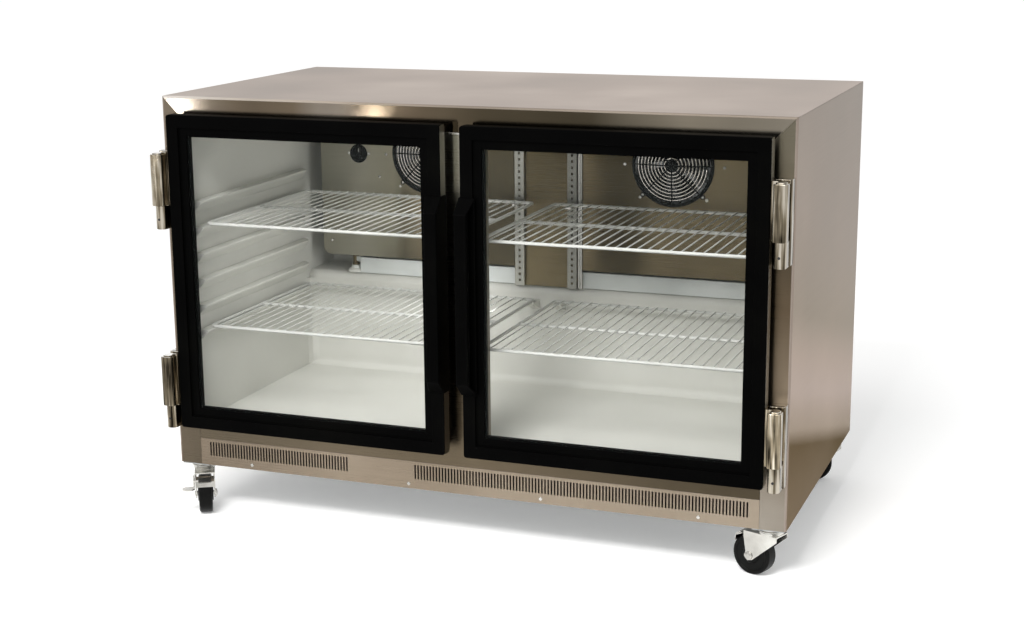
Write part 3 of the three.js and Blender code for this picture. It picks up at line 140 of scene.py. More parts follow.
# Flange of the right cover, beside the centre panel
COVER_FLANGE = ((66.2 * MM, 69.8 * MM), (70.8 * MM, 74.6 * MM))
COVER_FLANGE_DEEP = 5 * MM

# Drain at the left end of the drip tray: its place, and profiles of (radius, height) in millimetres
DRAIN_PLACE = (-451.5 * MM, 211 * MM)
DRAIN_CUP = ((0, 0), (17, 0), (17.6, 1.2), (17.2, 5), (15, 7.5), (11, 9.5), (9.5, 12), (9.5, 15), (0, 15))
DRAIN_PIPE = ((0, 14), (7.6, 14), (8.2, 15), (8.2, 19), (7.2, 20), (7.2, 48), (0, 48))

# Thermostat: profiles of (radius, height), flutes and pointer, in millimetres
DIAL_CUP = ((15.5, 0), (18.8, 0), (20, 1.0), (20, 2.0), (17.3, 2.0))
DIAL_CUP_BORE = 0.01 * MM
DIAL_CUP_FLOOR = 1.8 * MM
DIAL = ((0, 0), (12.6, 0), (13, 0.5), (12.4, 7.4), (11.6, 8.6), (0, 9))
DIAL_FLUTES = 20
DIAL_FLUTE = ((12.5, 0, 0.5), (12.1, 0, 8))
DIAL_FLUTE_RADIUS = 0.7 * MM
DIAL_GRIP = ((-3, -11.7), (3, -11.7), (2.4, 11.7), (-2.4, 11.7))
DIAL_GRIP_LEVEL = 8 * MM
DIAL_GRIP_HIGH = 6 * MM
DIAL_MARK_HALF = 0.5 * MM
DIAL_MARK_DEEP = 0.1 * MM
DIAL_MARK = (3 * MM, 11 * MM)

# Screws: the size of a head, and the places on the covers as (x, level) in millimetres
SCREW_RADIUS = 3.6 * MM
SCREW_HEAD = 1.6 * MM
COVER_SCREWS = {
    "left": ((-366, 663), (-382, 614), (-334, 596), (-196, 663),
             (-500, 700), (-500, 470), (-453, 662), (-407, 662)),
    "right": ((164.5, 665), (370, 666), (197, 599), (335, 599), (500, 700), (500, 470)),
}

# Doors: the places of their upright outer faces
DOOR_EDGES = (19 * MM, 575.5 * MM)

# Hinges, as on the right side
HINGE_AXIS = (594.5 * MM, -331 * MM)
HINGE_LEAF_EDGES = (579.5 * MM, 607.5 * MM)
HINGE_LEAF_ROUNDS = ((581.5 * MM, -307 * MM), (605.5 * MM, -307 * MM))
HINGE_LEAF_CORNER = 2 * MM
HINGE_BARREL = 11 * MM
HINGE_BARREL_HEIGHT = 45 * MM
HINGE_BARREL_BACK = -300 * MM
HINGE_PIN = ((4.2, 0), (4.2, 55), (3.4, 58), (0, 58))
HINGE_COVER = 12.5 * MM
HINGE_COVER_FRONT = 16 * MM
HINGE_COVER_CORNER = 6 * MM
# The cover's plates: inner and outer x, front and back y, in millimetres
HINGE_PLATES = ((575.8, 577.8, -329.5, -306.5), (577.0, 588.0, -333.5, -323.5))
HINGE_STEP = 3.4 * MM
HINGE_NECK = 3.2 * MM
HINGE_RIDGE = ((580 * MM, -312.5 * MM), (605 * MM, -304 * MM))
HINGE_RIDGE_DEEP = 7 * MM
HINGE_HOLE = (2.4 * MM, 19 * MM)
HINGE_HOLE_DEEP = 0.8 * MM
HINGE_HOLE_SUNK = 0.5 * MM

# Casters: kingpin places in millimetres and headings in degrees
CASTERS = {
    "front_left": (-576.5, -253.0, -60.0),
    "front_right": (576.5, -253.0, 160.0),
    "rear_left": (-576.5, 324.0, -10.0),
    "rear_right": (576.5, 324.0, 190.0),
}
WHEEL_RADIUS = 38 * MM
WHEEL_HALF = 15 * MM
WHEEL_TRAIL = 34 * MM
WHEEL_SIDES = 56
TREAD_ROUND = 4 * MM
TREAD_SHOULDER = 6 * MM
# Side of a wheel, from the tread in: (radius, how far it lies in from the wheel's face)
WHEEL_FACE = ((31 * MM, 2 * MM), (29.5 * MM, 3.4 * MM), (17 * MM, 3.4 * MM), (14.5 * MM, 0), (6 * MM, 0))
# The stacked rings of a swivel: (radius, level) in millimetres
SWIVEL_RINGS = ((12, 97), (25, 97), (25.4, 95.5), (25, 94), (21.5, 93.2),
                (21, 92), (23.4, 91), (23.8, 89.6), (23, 88.4), (12, 88.2))
# The sheet over the front wheels: its folds as (ahead of the kingpin, level)
BRAKE_PLATE = (((66 * MM, 60 * MM), (64 * MM, 71 * MM)), ((64 * MM, 71 * MM), (50 * MM, 78 * MM)))
BRAKE_PLATE_SHEET = 1.6 * MM
BRAKE_PLATE_OVERHANG = 3 * MM


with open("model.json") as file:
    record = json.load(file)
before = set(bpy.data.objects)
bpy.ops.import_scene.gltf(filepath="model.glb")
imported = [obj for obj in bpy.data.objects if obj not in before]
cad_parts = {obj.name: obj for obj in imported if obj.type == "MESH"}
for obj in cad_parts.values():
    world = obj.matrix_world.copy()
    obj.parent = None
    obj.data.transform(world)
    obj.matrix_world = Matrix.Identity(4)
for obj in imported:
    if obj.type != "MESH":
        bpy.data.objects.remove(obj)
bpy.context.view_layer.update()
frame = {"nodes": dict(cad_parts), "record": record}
BODY_OF = {node: body for body, nodes in frame["record"]["behaviour"]["bodies"].items() for node in nodes}
SLOT_OF = {part["node"]: part["material_slot"] for part in frame["record"]["subparts"]}


# Materials

def linear(code):
    """A colour written as #rrggbb, as linear red, green, blue and 1."""
    parts = [int(code[at:at + 2], 16) / 255 for at in (1, 3, 5)]
    return (*[(p / 12.92 if p <= 0.04045 else ((p + 0.055) / 1.055) ** 2.4) for p in parts], 1.0)


class Finish:
    """A node material round one principled shader, with patterns in the piece's own coordinates."""

    def __init__(self, name, colour, **constants):
        self.material = bpy.data.materials.new(name)
        self.material.use_nodes = True
        self.tree = self.material.node_tree
        self.shader = self.tree.nodes["Principled BSDF"]
        self.shader.inputs["Base Color"].default_value = linear(colour)
        for socket, value in constants.items():
            self.shader.inputs[socket.replace("_", " ")].default_value = value
        self.place = self.tree.nodes.new("ShaderNodeTexCoord").outputs["Object"]

    def node(self, kind, inputs=(), **settings):
        """A node with its settings, and with its inputs linked or set."""
        made = self.tree.nodes.new(kind)
        for key, value in settings.items():
            setattr(made, key, value)
        for socket, value in dict(inputs).items():
            if isinstance(value, bpy.types.NodeSocket):
                self.tree.links.new(value, made.inputs[socket])
            else:
                made.inputs[socket].default_value = value
        return made

    def noise(self, scale, stretch=(1, 1, 1), detail=3.0, rough=0.5):
        fit = self.node("ShaderNodeMapping", {"Vector": self.place, "Scale": [scale * s for s in stretch]})
        return self.node("ShaderNodeTexNoise", {
            "Vector": fit.outputs[0], "Scale": 1.0, "Detail": detail, "Roughness": rough}).outputs[0]

    def cells(self, scale):
        fit = self.node("ShaderNodeMapping", {"Vector": self.place, "Scale": [scale] * 3})
        return self.node("ShaderNodeTexVoronoi", {"Vector": fit.outputs[0], "Scale": 1.0}).outputs["Color"]

    def span(self, value, low, high, start=0.3, end=0.7):
        """A value stretched from one range to another."""
        return self.node("ShaderNodeMapRange", {
            "Value": value, "From Min": start, "From Max": end, "To Min": low, "To Max": high}).outputs[0]

    def both(self, first, second, share=0.5):
        return self.node("ShaderNodeMix", {"Factor": share, "A": first, "B": second}).outputs[0]

    def tint(self, value, colours, start=0.3, end=0.7):
        """The base colour: even steps of colour over a pattern."""
        ramp = self.node("ShaderNodeValToRGB", {"Fac": value}).color_ramp
        stops = [start + (end - start) * at / (len(colours) - 1) for at in range(len(colours))]
        for at, (stop, colour) in enumerate(zip(stops, colours)):
            element = ramp.elements[at] if at < 2 else ramp.elements.new(stop)
            element.position, element.color = stop, linear(colour)
        self.tree.links.new(self.tree.nodes[-1].outputs["Color"], self.shader.inputs["Base Color"])

    def along(self, direction, stops):
        """A colour along a direction of the piece: stops are (place in metres, colour)."""
        dot = self.node("ShaderNodeVectorMath", {0: self.place, 1: direction}, operation="DOT_PRODUCT")
        first, last = stops[0][0], stops[-1][0]
        share = self.span(dot.outputs["Value"], 0.0, 1.0, first, last)
        ramp = self.node("ShaderNodeValToRGB", {"Fac": share})
        for at, (place, colour) in enumerate(stops):
            element = ramp.color_ramp.elements[at] if at < 2 else ramp.color_ramp.elements.new(1.0)
            element.position, element.color = (place - first) / (last - first), linear(colour)
        return ramp.outputs["Color"]

    def shaded(self, direction, stops):
        """Painted light and shade: multiplies the colour by one that changes along a direction."""
        colour = self.shader.inputs["Base Color"].links[0].from_socket
        made = self.node("ShaderNodeMix", {6: colour, 7: self.along(direction, stops)}, data_type="RGBA",
                         blend_type="MULTIPLY")
        made.inputs["Factor"].default_value = 1.0
        self.tree.links.new(made.outputs[2], self.shader.inputs["Base Color"])

    def gloss(self, value, low, high):
        self.tree.links.new(self.span(value, low, high), self.shader.inputs["Roughness"])

    def bump(self, value, depth, strength=1.0):
        made = self.node("ShaderNodeBump", {"Height": value, "Distance": depth, "Strength": strength})
        self.tree.links.new(made.outputs[0], self.shader.inputs["Normal"])


def brushed(name, colours, grain, rough, across=None, shade=(), reflection_tint=()):
    """Sheet steel: long fine grain, slow clouds of handling, and highlights drawn out across the grain.

    Painted light and shade multiply its colour along a direction, and a reflection tint paints darker and
    lighter reflections along a direction, seen at a flat angle of view only.
    """
    made = Finish(name, colours[1], Metallic=1.0)
    fine = made.noise(1, grain, detail=4, rough=0.6)
    clouds = made.noise(2.6, detail=3)
    made.tint(made.both(fine, clouds, 0.85), colours)
    for direction, stops in shade:
        made.shaded(direction, stops)
    for direction, stops in reflection_tint:
        made.tree.links.new(made.along(direction, stops), made.shader.inputs["Specular Tint"])
    made.gloss(made.both(fine, clouds, 0.5), *rough)
    if across:
        made.shader.inputs["Anisotropic"].default_value = BRUSH_PULL
        way = made.node("ShaderNodeCombineXYZ", dict(zip("XYZ", across)))
        made.tree.links.new(way.outputs[0], made.shader.inputs["Tangent"])
    made.bump(fine, BRUSH_DEPTH)
    return made.material


def moulded(name, colours, rough, grit=900, depth=0.00005, cloud=6, **constants):
    """Plastic or rubber: a fine moulded skin under slow changes of colour and gloss."""
    made = Finish(name, colours[1], **constants)
    skin = made.noise(grit, detail=2)
    clouds = made.noise(cloud, detail=4, rough=0.6)
    made.tint(made.both(clouds, skin, 0.25), colours)
    made.gloss(clouds, *rough)
    made.bump(skin, depth)
    return made.material


def plated(name, colours, rough, metallic=1.0, flecks=0.0):
    """Zinc or chrome: slow clouds, and the crystals of hot-dipped zinc where it has them."""
    made = Finish(name, colours[1], Metallic=metallic)
    clouds = made.noise(14, detail=4)
    pattern = made.both(clouds, made.cells(90), flecks)
    made.tint(pattern, colours)
    made.gloss(pattern, *rough)
    return made.material


def polished(name, colours, rough):
    """Polished chrome with painted reflections: long upright bands of dark and light tone stand in for its
    surroundings mirrored in it.
    """
    made = Finish(name, colours[1], Metallic=1.0)
    painted_reflections = made.noise(150, (1, 1, 0.06), detail=2)
    clouds = made.noise(20, detail=4)
    pattern = made.both(painted_reflections, clouds, 0.2)
    made.tint(pattern, colours, 0.36, 0.64)
    made.gloss(clouds, *rough)
    return made.material


def pane_glass(name):
    """Clear insulating glass: nearly see-through face on, and more mirror than window at a flat angle."""
    made = Finish(name, "#868c89", Roughness=0.02, IOR=1.5, Alpha=0.1, Specular_IOR_Level=1.0)
    edge = made.node("ShaderNodeLayerWeight", {"Blend": 0.14})
    smear = made.noise(5, detail=5, rough=0.7)
    share = made.span(edge.outputs["Fresnel"], 0.003, 0.6, 0.0, 1.0)
    veil = made.span(smear, 0.0, 0.004)
    both = made.node("ShaderNodeMath", {0: share, 1: veil}, operation="ADD")
    made.tree.links.new(both.outputs[0], made.shader.inputs["Alpha"])
    return made.material


GRAIN_X = (3, 1600, 1600)
GRAIN_Y = (1600, 3, 1600)
GRAIN_Z = (1600, 1600, 3)
ALONG_X = (1, 0, 0)
ALONG_Z = (0, 0, 1)
SIDE_FOOT = (0, 0.268, 1)
UP_Y = (0.0, 1.0, 0.0)
UP_Z = (0.0, 0.0, 1.0)
BRUSH_PULL = 0.9
BRUSH_DEPTH = 0.01 * MM

# Painted light and shade: a direction, and (place in metres, colour) along it
# Painted reflection on the side panels: darker below a slanted line near the foot, as a mirrored shadowed
# floor, and lighter above it
SIDE_PAINTED_REFLECTION = (SIDE_FOOT, (
    (0.0, "#aca08c"), (0.18, "#8f8673"), (0.21, "#e6dccf"), (0.28, "#fdf2ec"),
    (0.34, "#f6ebe3"), (0.42, "#dbd6cd"), (0.6, "#ded9d4"), (0.9, "#d6d4d1")))
# Painted shade on the left post's front: darker towards the right
FRONT_PAINTED_SHADE = (ALONG_X, ((-0.6, "#f4f4f4"), (0.0, "#f0ece6"), (0.5, "#bdbbb4")))
# Painted shade and light on the front frame: darker towards the right, and lighter up the mullion above the
# sill
FRAME_PAINTED_SHADE_ACROSS = (ALONG_X, ((-0.6, "#f4f4f4"), (0.0, "#f0ece6"), (0.5, "#b4b2ab")))
FRAME_PAINTED_LIGHT_UP = (ALONG_Z, ((0.15, "#a29588"), (0.4, "#a29588"), (0.62, "#fbfbfb"), (0.8, "#ffffff")))
# Painted shade on the right post: lightest at the bottom, darker from the middle up, a little lighter at the
# top
POST_PAINTED_SHADE = (ALONG_Z, (
    (0.12, "#dedcd8"), (0.3, "#d0c5b5"), (0.5, "#948775"), (0.62, "#928a7a"), (0.83, "#aeafa4")))
# Painted reflections along the header: lighter at the left end with a light band near x -0.26, darker right
# of the middle, lighter at the right end
HEADER_PAINTED_REFLECTION = (ALONG_X, (
    (-0.6, "#f4f2ee"), (-0.45, "#ccc2b2"), (-0.33, "#c8bdac"), (-0.28, "#eeebe6"),
    (-0.24, "#eeebe6"), (-0.19, "#c8bdac"), (-0.1, "#c0b5a3"), (0.05, "#96907f"),
    (0.25, "#807c6e"), (0.43, "#efeee4"), (0.61, "#f8faf4")))
# Painted highlight on the worktop's front fold: brightest at the left, fading towards the middle
FOLD_PAINTED_HIGHLIGHT = (ALONG_X, (
    (-0.6, "#ffffff"), (-0.45, "#f0ece6"), (-0.25, "#cfc7be"), (0.0, "#a39c94"), (0.6, "#a39c94")))
# Painted shade on the right cover: darker towards the right
COVER_PAINTED_SHADE = (ALONG_X, ((0.08, "#ffffff"), (0.2, "#ffffff"), (0.3, "#dfdfdf"), (0.52, "#dfdfdf")))
# Painted shade on the centre panel: darker towards the top
CENTRE_PAINTED_SHADE = (ALONG_Z, ((0.42, "#ffffff"), (0.55, "#eaeaea"), (0.7, "#d4d4d4"), (0.8, "#d0d0d0")))
# Painted light and shade on the left cover: lightest near its left end, dark towards its right
LEFT_COVER_PAINTED_SHADE = (ALONG_X, (
    (-0.52, "#e4e4e0"), (-0.43, "#ffffff"), (-0.35, "#f0ede2"), (-0.325, "#b5ae9e"),
    (-0.28, "#bdb29d"), (-0.15, "#6c6557"), (-0.07, "#6a6455")))
# Painted highlight on the left door's inner edge: dark below, lightest near the top
TRIM_PAINTED_HIGHLIGHT = (ALONG_Z, (
    (0.19, "#6b655b"), (0.45, "#645e54"), (0.62, "#86837b"), (0.74, "#bcbdb7"), (0.8, "#a4a29a")))

# The stainless looks below are one steel given a lighter or darker base colour for each piece, after the
# light each one catches: painted light and shade. The left post, right cover and centre panel are darkest;
# the worktop's fold, the left cover and the doors' edges lightest.
LOOKS = {
    "top_steel": brushed("top_steel", ("#92877e", "#a2968d", "#b2a79e"), GRAIN_X, (0.3, 0.42), UP_Y),
    "side_steel": brushed("side_steel", ("#887c72", "#978a80", "#a69a90"), GRAIN_Y, (0.3, 0.42), UP_Z,
                          reflection_tint=[SIDE_PAINTED_REFLECTION]),
    "front_steel": brushed("front_steel", ("#5b5245", "#6b6153", "#7f7466"), GRAIN_X, (0.24, 0.34), UP_Z,
                           [FRONT_PAINTED_SHADE]),
    "frame_steel": brushed("frame_steel", ("#9b998e", "#abaa9f", "#bdbbb0"), GRAIN_X, (0.24, 0.34), UP_Z,
                           [FRAME_PAINTED_SHADE_ACROSS, FRAME_PAINTED_LIGHT_UP]),
    "right_post_steel": brushed("right_post_steel", ("#8b8378", "#9c948a", "#aca59c"), GRAIN_X, (0.24, 0.34),
                                UP_Z, [POST_PAINTED_SHADE]),
    "grille_steel": brushed("grille_steel", ("#776b5d", "#8a7d6d", "#9c8f7f"), GRAIN_X, (0.24, 0.34), UP_Z),
    "header_steel": brushed("header_steel", ("#655f57", "#857d74", "#a59d94"), GRAIN_X, (0.07, 0.13), UP_Z,
                            [HEADER_PAINTED_REFLECTION]),
    # A lighter copy of the worktop steel for its fold, with a painted highlight
    "fold_edge_highlight": brushed("fold_edge_highlight", ("#b9b2aa", "#d2cbc3", "#e6e0d9"), GRAIN_X, (0.4, 0.5), UP_Z,
                         [FOLD_PAINTED_HIGHLIGHT]),
    "cover_steel": brushed("cover_steel", ("#62563f", "#796d53", "#8f8367"), GRAIN_X, (0.24, 0.38), UP_Z,
                           [COVER_PAINTED_SHADE]),
    "center_steel": brushed("center_steel", ("#5a503a", "#70654c", "#857a5f"), GRAIN_X, (0.24, 0.38), UP_Z,
                            [CENTRE_PAINTED_SHADE]),
    # Much lighter than the right cover's steel: painted light
    "left_cover_steel": brushed("left_cover_steel", ("#928e83", "#cdc9bb", "#f0ede3"), GRAIN_X, (0.26, 0.4),
                                UP_Z, [LEFT_COVER_PAINTED_SHADE]),
    # Set lighter than the other steel so the doors' edges read light: painted light
    "bright_steel": brushed("bright_steel", ("#a9a8a2", "#c9c8c2", "#e3e2dd"), GRAIN_Z, (0.2, 0.32)),
    "standard_steel": brushed("standard_steel", ("#6f6e67", "#9b9a91", "#c6c5bc"), GRAIN_Z, (0.28, 0.4)),
    # A lighter copy of the steel for the left door's inner edge, with a painted highlight near its top
    "door_trim_highlight": brushed("door_trim_highlight", ("#d4d3cd", "#e9e8e3", "#fafaf6"), GRAIN_Z, (0.3, 0.42), None,
                         [TRIM_PAINTED_HIGHLIGHT]),
    "galvanised": plated("galvanised", ("#8b8d8e", "#a3a5a5", "#b9bbbb"), (0.34, 0.52), 0.9, 0.3),
    "zinc": plated("zinc", ("#a9a7a1", "#c9c7c1", "#e6e5e0"), (0.16, 0.3)),
    "chrome": polished("chrome", ("#1c1812", "#7b715f", "#c4bcae"), (0.08, 0.16)),
    # A lighter copy of the chrome for one hinge, and a lighter chrome for upward faces: painted light
    "lit_chrome": polished("lit_chrome", ("#262119", "#a1947d", "#f1e8d8"), (0.08, 0.16)),
    "chrome_lit_top": plated("chrome_lit_top", ("#c4c1bb", "#dedcd7", "#f2f1ee"), (0.1, 0.2)),
    "guard_wire": plated("guard_wire", ("#a9a298", "#cdc7bd", "#e9e4dc"), (0.1, 0.2)),
    # Aluminium blades darkened nearly to black: painted shade behind the guard, with lighter patches
    "blade_metal": plated("blade_metal", ("#050505", "#141413", "#8d8b87"), (0.1, 0.22)),
    "black_plastic": moulded("black_plastic", ("#010101", "#020202", "#050504"), (0.34, 0.5),
                             Specular_IOR_Level=0.018),
    "seal": moulded("seal", ("#141412", "#1d1d1b", "#2a2a27"), (0.55, 0.75), 400),
    "wheel_rubber": moulded("wheel_rubber", ("#030302", "#060605", "#100f0d"), (0.3, 0.5), 700,
                            Specular_IOR_Level=0.12),
    "liner_white": moulded("liner_white", ("#c0c0b9", "#cdcdc6", "#d8d8d1"), (0.3, 0.46), 500, 0.00004, 3),
    "tray_grey": moulded("tray_grey", ("#bdc1be", "#ced2cf", "#dadddb"), (0.35, 0.5)),
    "white_wire": moulded("white_wire", ("#b2b3ae", "#c0c1bc", "#cdcec9"), (0.5, 0.68), 600),
    "black_paint": moulded("black_paint", ("#0c0c0b", "#151514", "#22211f"), (0.3, 0.5), 500),
    "aluminium": brushed("aluminium", ("#b5b6b6", "#d2d3d3", "#e9eaea"), (60, 60, 60), (0.22, 0.36)),
    "copper": plated("copper", ("#7d4a2c", "#a06842", "#c0875f"), (0.24, 0.42)),
    "foam": moulded("foam", ("#c9b784", "#d9c998", "#e6d9ae"), (0.8, 0.95), 260, 0.0006),
    "glass": pane_glass("glass"),
}

LOOK_OF = {
    "top_panel": "top_steel", "left_side_panel": "side_steel", "right_side_panel": "side_steel",
    "front_frame": "frame_steel", "grille_panel": "grille_steel",
    "left_evaporator_cover": "left_cover_steel", "right_evaporator_cover": "cover_steel",
    "center_back_panel": "center_steel", "back_panel": "galvanised", "base_pan": "galvanised",
    "condenser_fan_motor": "galvanised", "foam_insulation": "foam", "inner_liner": "liner_white",
    "drip_tray": "tray_grey", "evaporator_coil": "aluminium", "condenser_coil": "copper",
    "compressor": "black_paint", "condenser_fan_blades": "aluminium",
}
LOOK_OF_SLOT = {
    "black_plastic": "black_plastic", "black_steel": "black_paint", "aluminium": "aluminium",
    "white_wire": "white_wire", "bright_steel": "bright_steel", "pane": "glass", "seal": "seal",
    "chromed": "chrome", "wheel": "wheel_rubber", "galvanised": "zinc",
}


def look_of(node):
    """The look of a CAD node: its own, or else its material slot's."""
    return LOOKS[LOOK_OF[node] if node in LOOK_OF else LOOK_OF_SLOT[SLOT_OF[node]]]


for name, shown in frame["nodes"].items():
    for place in shown.material_slots:
        place.material = look_of(name)


# Mesh helpers

def metres(points):
    """Points given in millimetres, in metres."""
    return [tuple(value * MM for value in point) for point in points]


def finished(name, mesh, node, look, bevel=0.0, replaces=True, others=()):
    """A mesh as a piece that rides and is finished like a CAD node; others are (test, look) of some faces."""
    bmesh.ops.recalc_face_normals(mesh, faces=mesh.faces)
    data = bpy.data.meshes.new(name)
    mesh.to_mesh(data)
    mesh.free()
    data.materials.append(look)
    for face in data.polygons:
        face.use_smooth = True
    for index, (test, second) in enumerate(others):
        data.materials.append(LOOKS[second])
        for face in filter(test, data.polygons):
            face.material_index = index + 1
    data.set_sharp_from_angle(angle=math.radians(CREASE))
    made = bpy.data.objects.new(name, data)
    bpy.context.scene.collection.objects.link(made)
    if bevel > 0:
        edge = made.modifiers.new("edges", "BEVEL")
        edge.width, edge.segments, edge.limit_method = bevel, 2, "ANGLE"
        edge.angle_limit = math.radians(CREASE)
    made.modifiers.new("flat_faces", "WEIGHTED_NORMAL").keep_sharp = True
    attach(made, BODY_OF[node])
    if replaces:
        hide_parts(node)
    return made


def forward(face):
    return face.normal.y < -0.98


def upward(face):
    return face.normal.z > 0.8


def door_edge(face):
    """The two upright outer faces of a door, whose steel shows; the rest of its shell is dark."""
    return abs(face.normal.x) > 0.8 and min(abs(abs(face.center.x) - at) for at in DOOR_EDGES) < MM


def fold(face):
    """The slanted edge between the worktop and its front."""
    return face.normal.y < -0.15 and face.normal.z > 0.15


def refined(node, bevel, others=(), look=None):
    """The CAD node's own shape with its flat faces joined and its edges eased."""
    bm = bmesh.new()
    bm.from_mesh(frame["nodes"][node].data)
    bmesh.ops.remove_doubles(bm, verts=bm.verts, dist=1e-6)
    bmesh.ops.dissolve_limit(bm, angle_limit=math.radians(0.5), verts=bm.verts, edges=bm.edges)
    return finished(f"{node}_eased", bm, node, look or look_of(node), bevel, others=others)


def circle(radius, sides):
    angles = [math.tau * at / sides for at in range(sides)]
    return [(radius * math.cos(a), radius * math.sin(a)) for a in angles]


def sweep(bm, path, radius, closed=False, sides=WIRE_SIDES):
    """A round wire along a path of points, capped at its ends."""
    side = None
    rings = []
    for at, point in enumerate(path):
        before = path[at - 1] if at > 0 or closed else point
        after = path[(at + 1) % len(path)] if at + 1 < len(path) or closed else point
        along = (after - before).normalized()
        side = along.orthogonal() if side is None else side - along * side.dot(along)
        side.normalize()
        up = along.cross(side)
        rings.append([bm.verts.new(point + a * side + b * up) for a, b in circle(radius, sides)])
    pairs = zip(rings, rings[1:] + rings[:1]) if closed else zip(rings, rings[1:])
    for one, two in pairs:
        for at in range(sides):
            bm.faces.new((one[at], one[at - 1], two[at - 1], two[at]))
    if not closed:
        bm.faces.new(rings[0])
        bm.faces.new(rings[-1])


def lathe(bm, profile, matrix, sides=ROUND_SIDES):
    """A body of revolution about its own z axis from (radius, height) points, placed by a matrix."""
    rings = []
    for radius, height in profile:
        if radius < 1e-9:
            rings.append([bm.verts.new(matrix @ Vector((0, 0, height)))])
        else:
            rings.append([bm.verts.new(matrix @ Vector((a, b, height))) for a, b in circle(radius, sides)])
    for one, two in zip(rings, rings[1:]):
        for at in range(sides):
            corners = [one[at % len(one)], one[(at - 1) % len(one)],
                       two[(at - 1) % len(two)], two[at % len(two)]]
            kept = list(dict.fromkeys(corners))
            if len(kept) > 2:
                bm.faces.new(kept)


def closed_lathe(bm, profile, matrix, sides=ROUND_SIDES):
    """A ring: its profile runs back to where it starts."""
    lathe(bm, [*profile, profile[0]], matrix, sides)
    bmesh.ops.remove_doubles(bm, verts=bm.verts, dist=1e-7)


def extrude(bm, outline, along):
    """A prism: a flat outline of points pushed along a vector."""
    low = [bm.verts.new(point) for point in outline]
    high = [bm.verts.new(point + along) for point in outline]
    bm.faces.new(low)
    bm.faces.new(high)
    for at in range(len(low)):
        bm.faces.new((low[at - 1], low[at], high[at], high[at - 1]))


def box(bm, low, high):
    """A straight block between two opposite corners."""
    corners = [Vector((low[0], low[1], low[2])), Vector((high[0], low[1], low[2])),
               Vector((high[0], high[1], low[2])), Vector((low[0], high[1], low[2]))]
    extrude(bm, corners, Vector((0, 0, high[2] - low[2])))


def arc(centre, radius, start, end, steps):
    """Points round a centre in a plane, from one angle in degrees to another."""
    angles = [math.radians(start + (end - start) * at / steps) for at in range(steps + 1)]
    return [(centre[0] + radius * math.cos(a), centre[1] + radius * math.sin(a)) for a in angles]


def facing(place, direction):
    """A matrix that puts a lathe's foot at a place, with its axis along a direction."""
    return Matrix.Translation(place) @ Vector(direction).to_track_quat("Z", "Y").to_matrix().to_4x4()


def screw(bm, place, direction, radius=SCREW_RADIUS, head=SCREW_HEAD):
    """A domed screw head with a round recess in its middle."""
    dome = [(radius * math.cos(a), head * math.sin(a)) for a in [math.radians(15 * at) for at in range(6)]]
    lathe(bm, [(radius, -head / 2), *dome, (radius * 0.32, head * 0.96), (0.0, head * 0.45)],
          facing(place, direction), 16)


# Cabinet shell

# Width of the eased edges in millimetres
EASED = {
    "top_panel": 1.8, "left_side_panel": 0.8, "right_side_panel": 0.8, "front_frame": 0.6,
    "back_panel": 0.4, "base_pan": 0.5, "inner_liner": 1.5, "drip_tray": 0.6,
    "left_evaporator_cover": 1.0, "right_evaporator_cover": 1.0,
    "left_door_bezel": 0.9, "right_door_bezel": 0.9, "left_door_shell": 0.4, "right_door_shell": 0.4,
    "left_door_handle": 1.2, "right_door_handle": 1.2, "left_door_gasket": 1.5, "right_door_gasket": 1.5,
    "condenser_fan_motor": 0.4,
    **{f"{corner}_caster_fork": 0.5 for corner in CASTERS},
    "front_left_brake_lever": 0.5, "front_right_brake_lever": 0.5,
}
# Faces with a look of their own: painted reflections on the header, a painted highlight on the worktop's
# fold, painted shade on the posts' fronts, and painted light on the doors' upright edges
OTHER_LOOKS = {
    "top_panel": [(forward, "header_steel"), (fold, "fold_edge_highlight")],
    "left_side_panel": [(forward, "front_steel")],
    "right_side_panel": [(forward, "right_post_steel")],
    "left_door_shell": [(door_edge, "door_trim_highlight")],
    "right_door_shell": [(door_edge, "bright_steel")],
}
for node, width in EASED.items():
    dark = LOOKS["black_plastic"] if "door_shell" in node else None
    refined(node, width * MM, OTHER_LOOKS.get(node, ()), dark)


def pierced_strip(bm, across, rungs, gaps, place):
    """A thin folded strip.

    Rungs are (depth, level) points, across the breaks along its length, and gaps the open cells.
    """
    grid = [[bm.verts.new(place(x, depth, level)) for depth, level in rungs] for x in across]
    for column in range(len(across) - 1):
        here, beside = grid[column], grid[column + 1]
        for row in range(len(rungs) - 1):
            if (column, row) not in gaps:
                bm.faces.new((here[row], beside[row], beside[row + 1], here[row + 1]))


def thickened(made, depth):
    """A folded sheet made as thick as asked, with crisp folds."""
    made.modifiers.clear()
    made.data.shade_flat()
    sheet = made.modifiers.new("sheet", "SOLIDIFY")
    sheet.thickness, sheet.offset = depth, -1.0
    return made


def grille():
    """The grille: a folded strip with its two fields of upright slots, and its screws."""
    low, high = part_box("grille_panel")
    starts = [low.x + SLOT_EDGE + at * SLOT_PITCH for at in range(SLOTS_LEFT)]
    starts += [high.x - SLOT_EDGE - SLOT_WIDTH - at * SLOT_PITCH for at in range(SLOTS_RIGHT)]
    across = sorted([low.x, high.x, *starts, *[start + SLOT_WIDTH for start in starts]])
    opened = {across.index(start) for start in starts}
    rungs = [(high.y, low.z), (low.y, low.z), (low.y, SLOT_LOW),
             (low.y, SLOT_HIGH), (low.y, high.z), (high.y, high.z)]
    bm = bmesh.new()
    pierced_strip(bm, across, rungs, {(column, 2) for column in opened}, lambda x, y, z: Vector((x, y, z)))
    thickened(finished("grille_sheet", bm, "grille_panel", look_of("grille_panel")), SHEET)
    bm = bmesh.new()
    for place in GRILLE_SCREWS:
        screw(bm, (place, low.y, GRILLE_SCREW_LEVEL), (0, -1, 0))
    finished("grille_screws", bm, "grille_panel", LOOKS["zinc"], replaces=False)


grille()


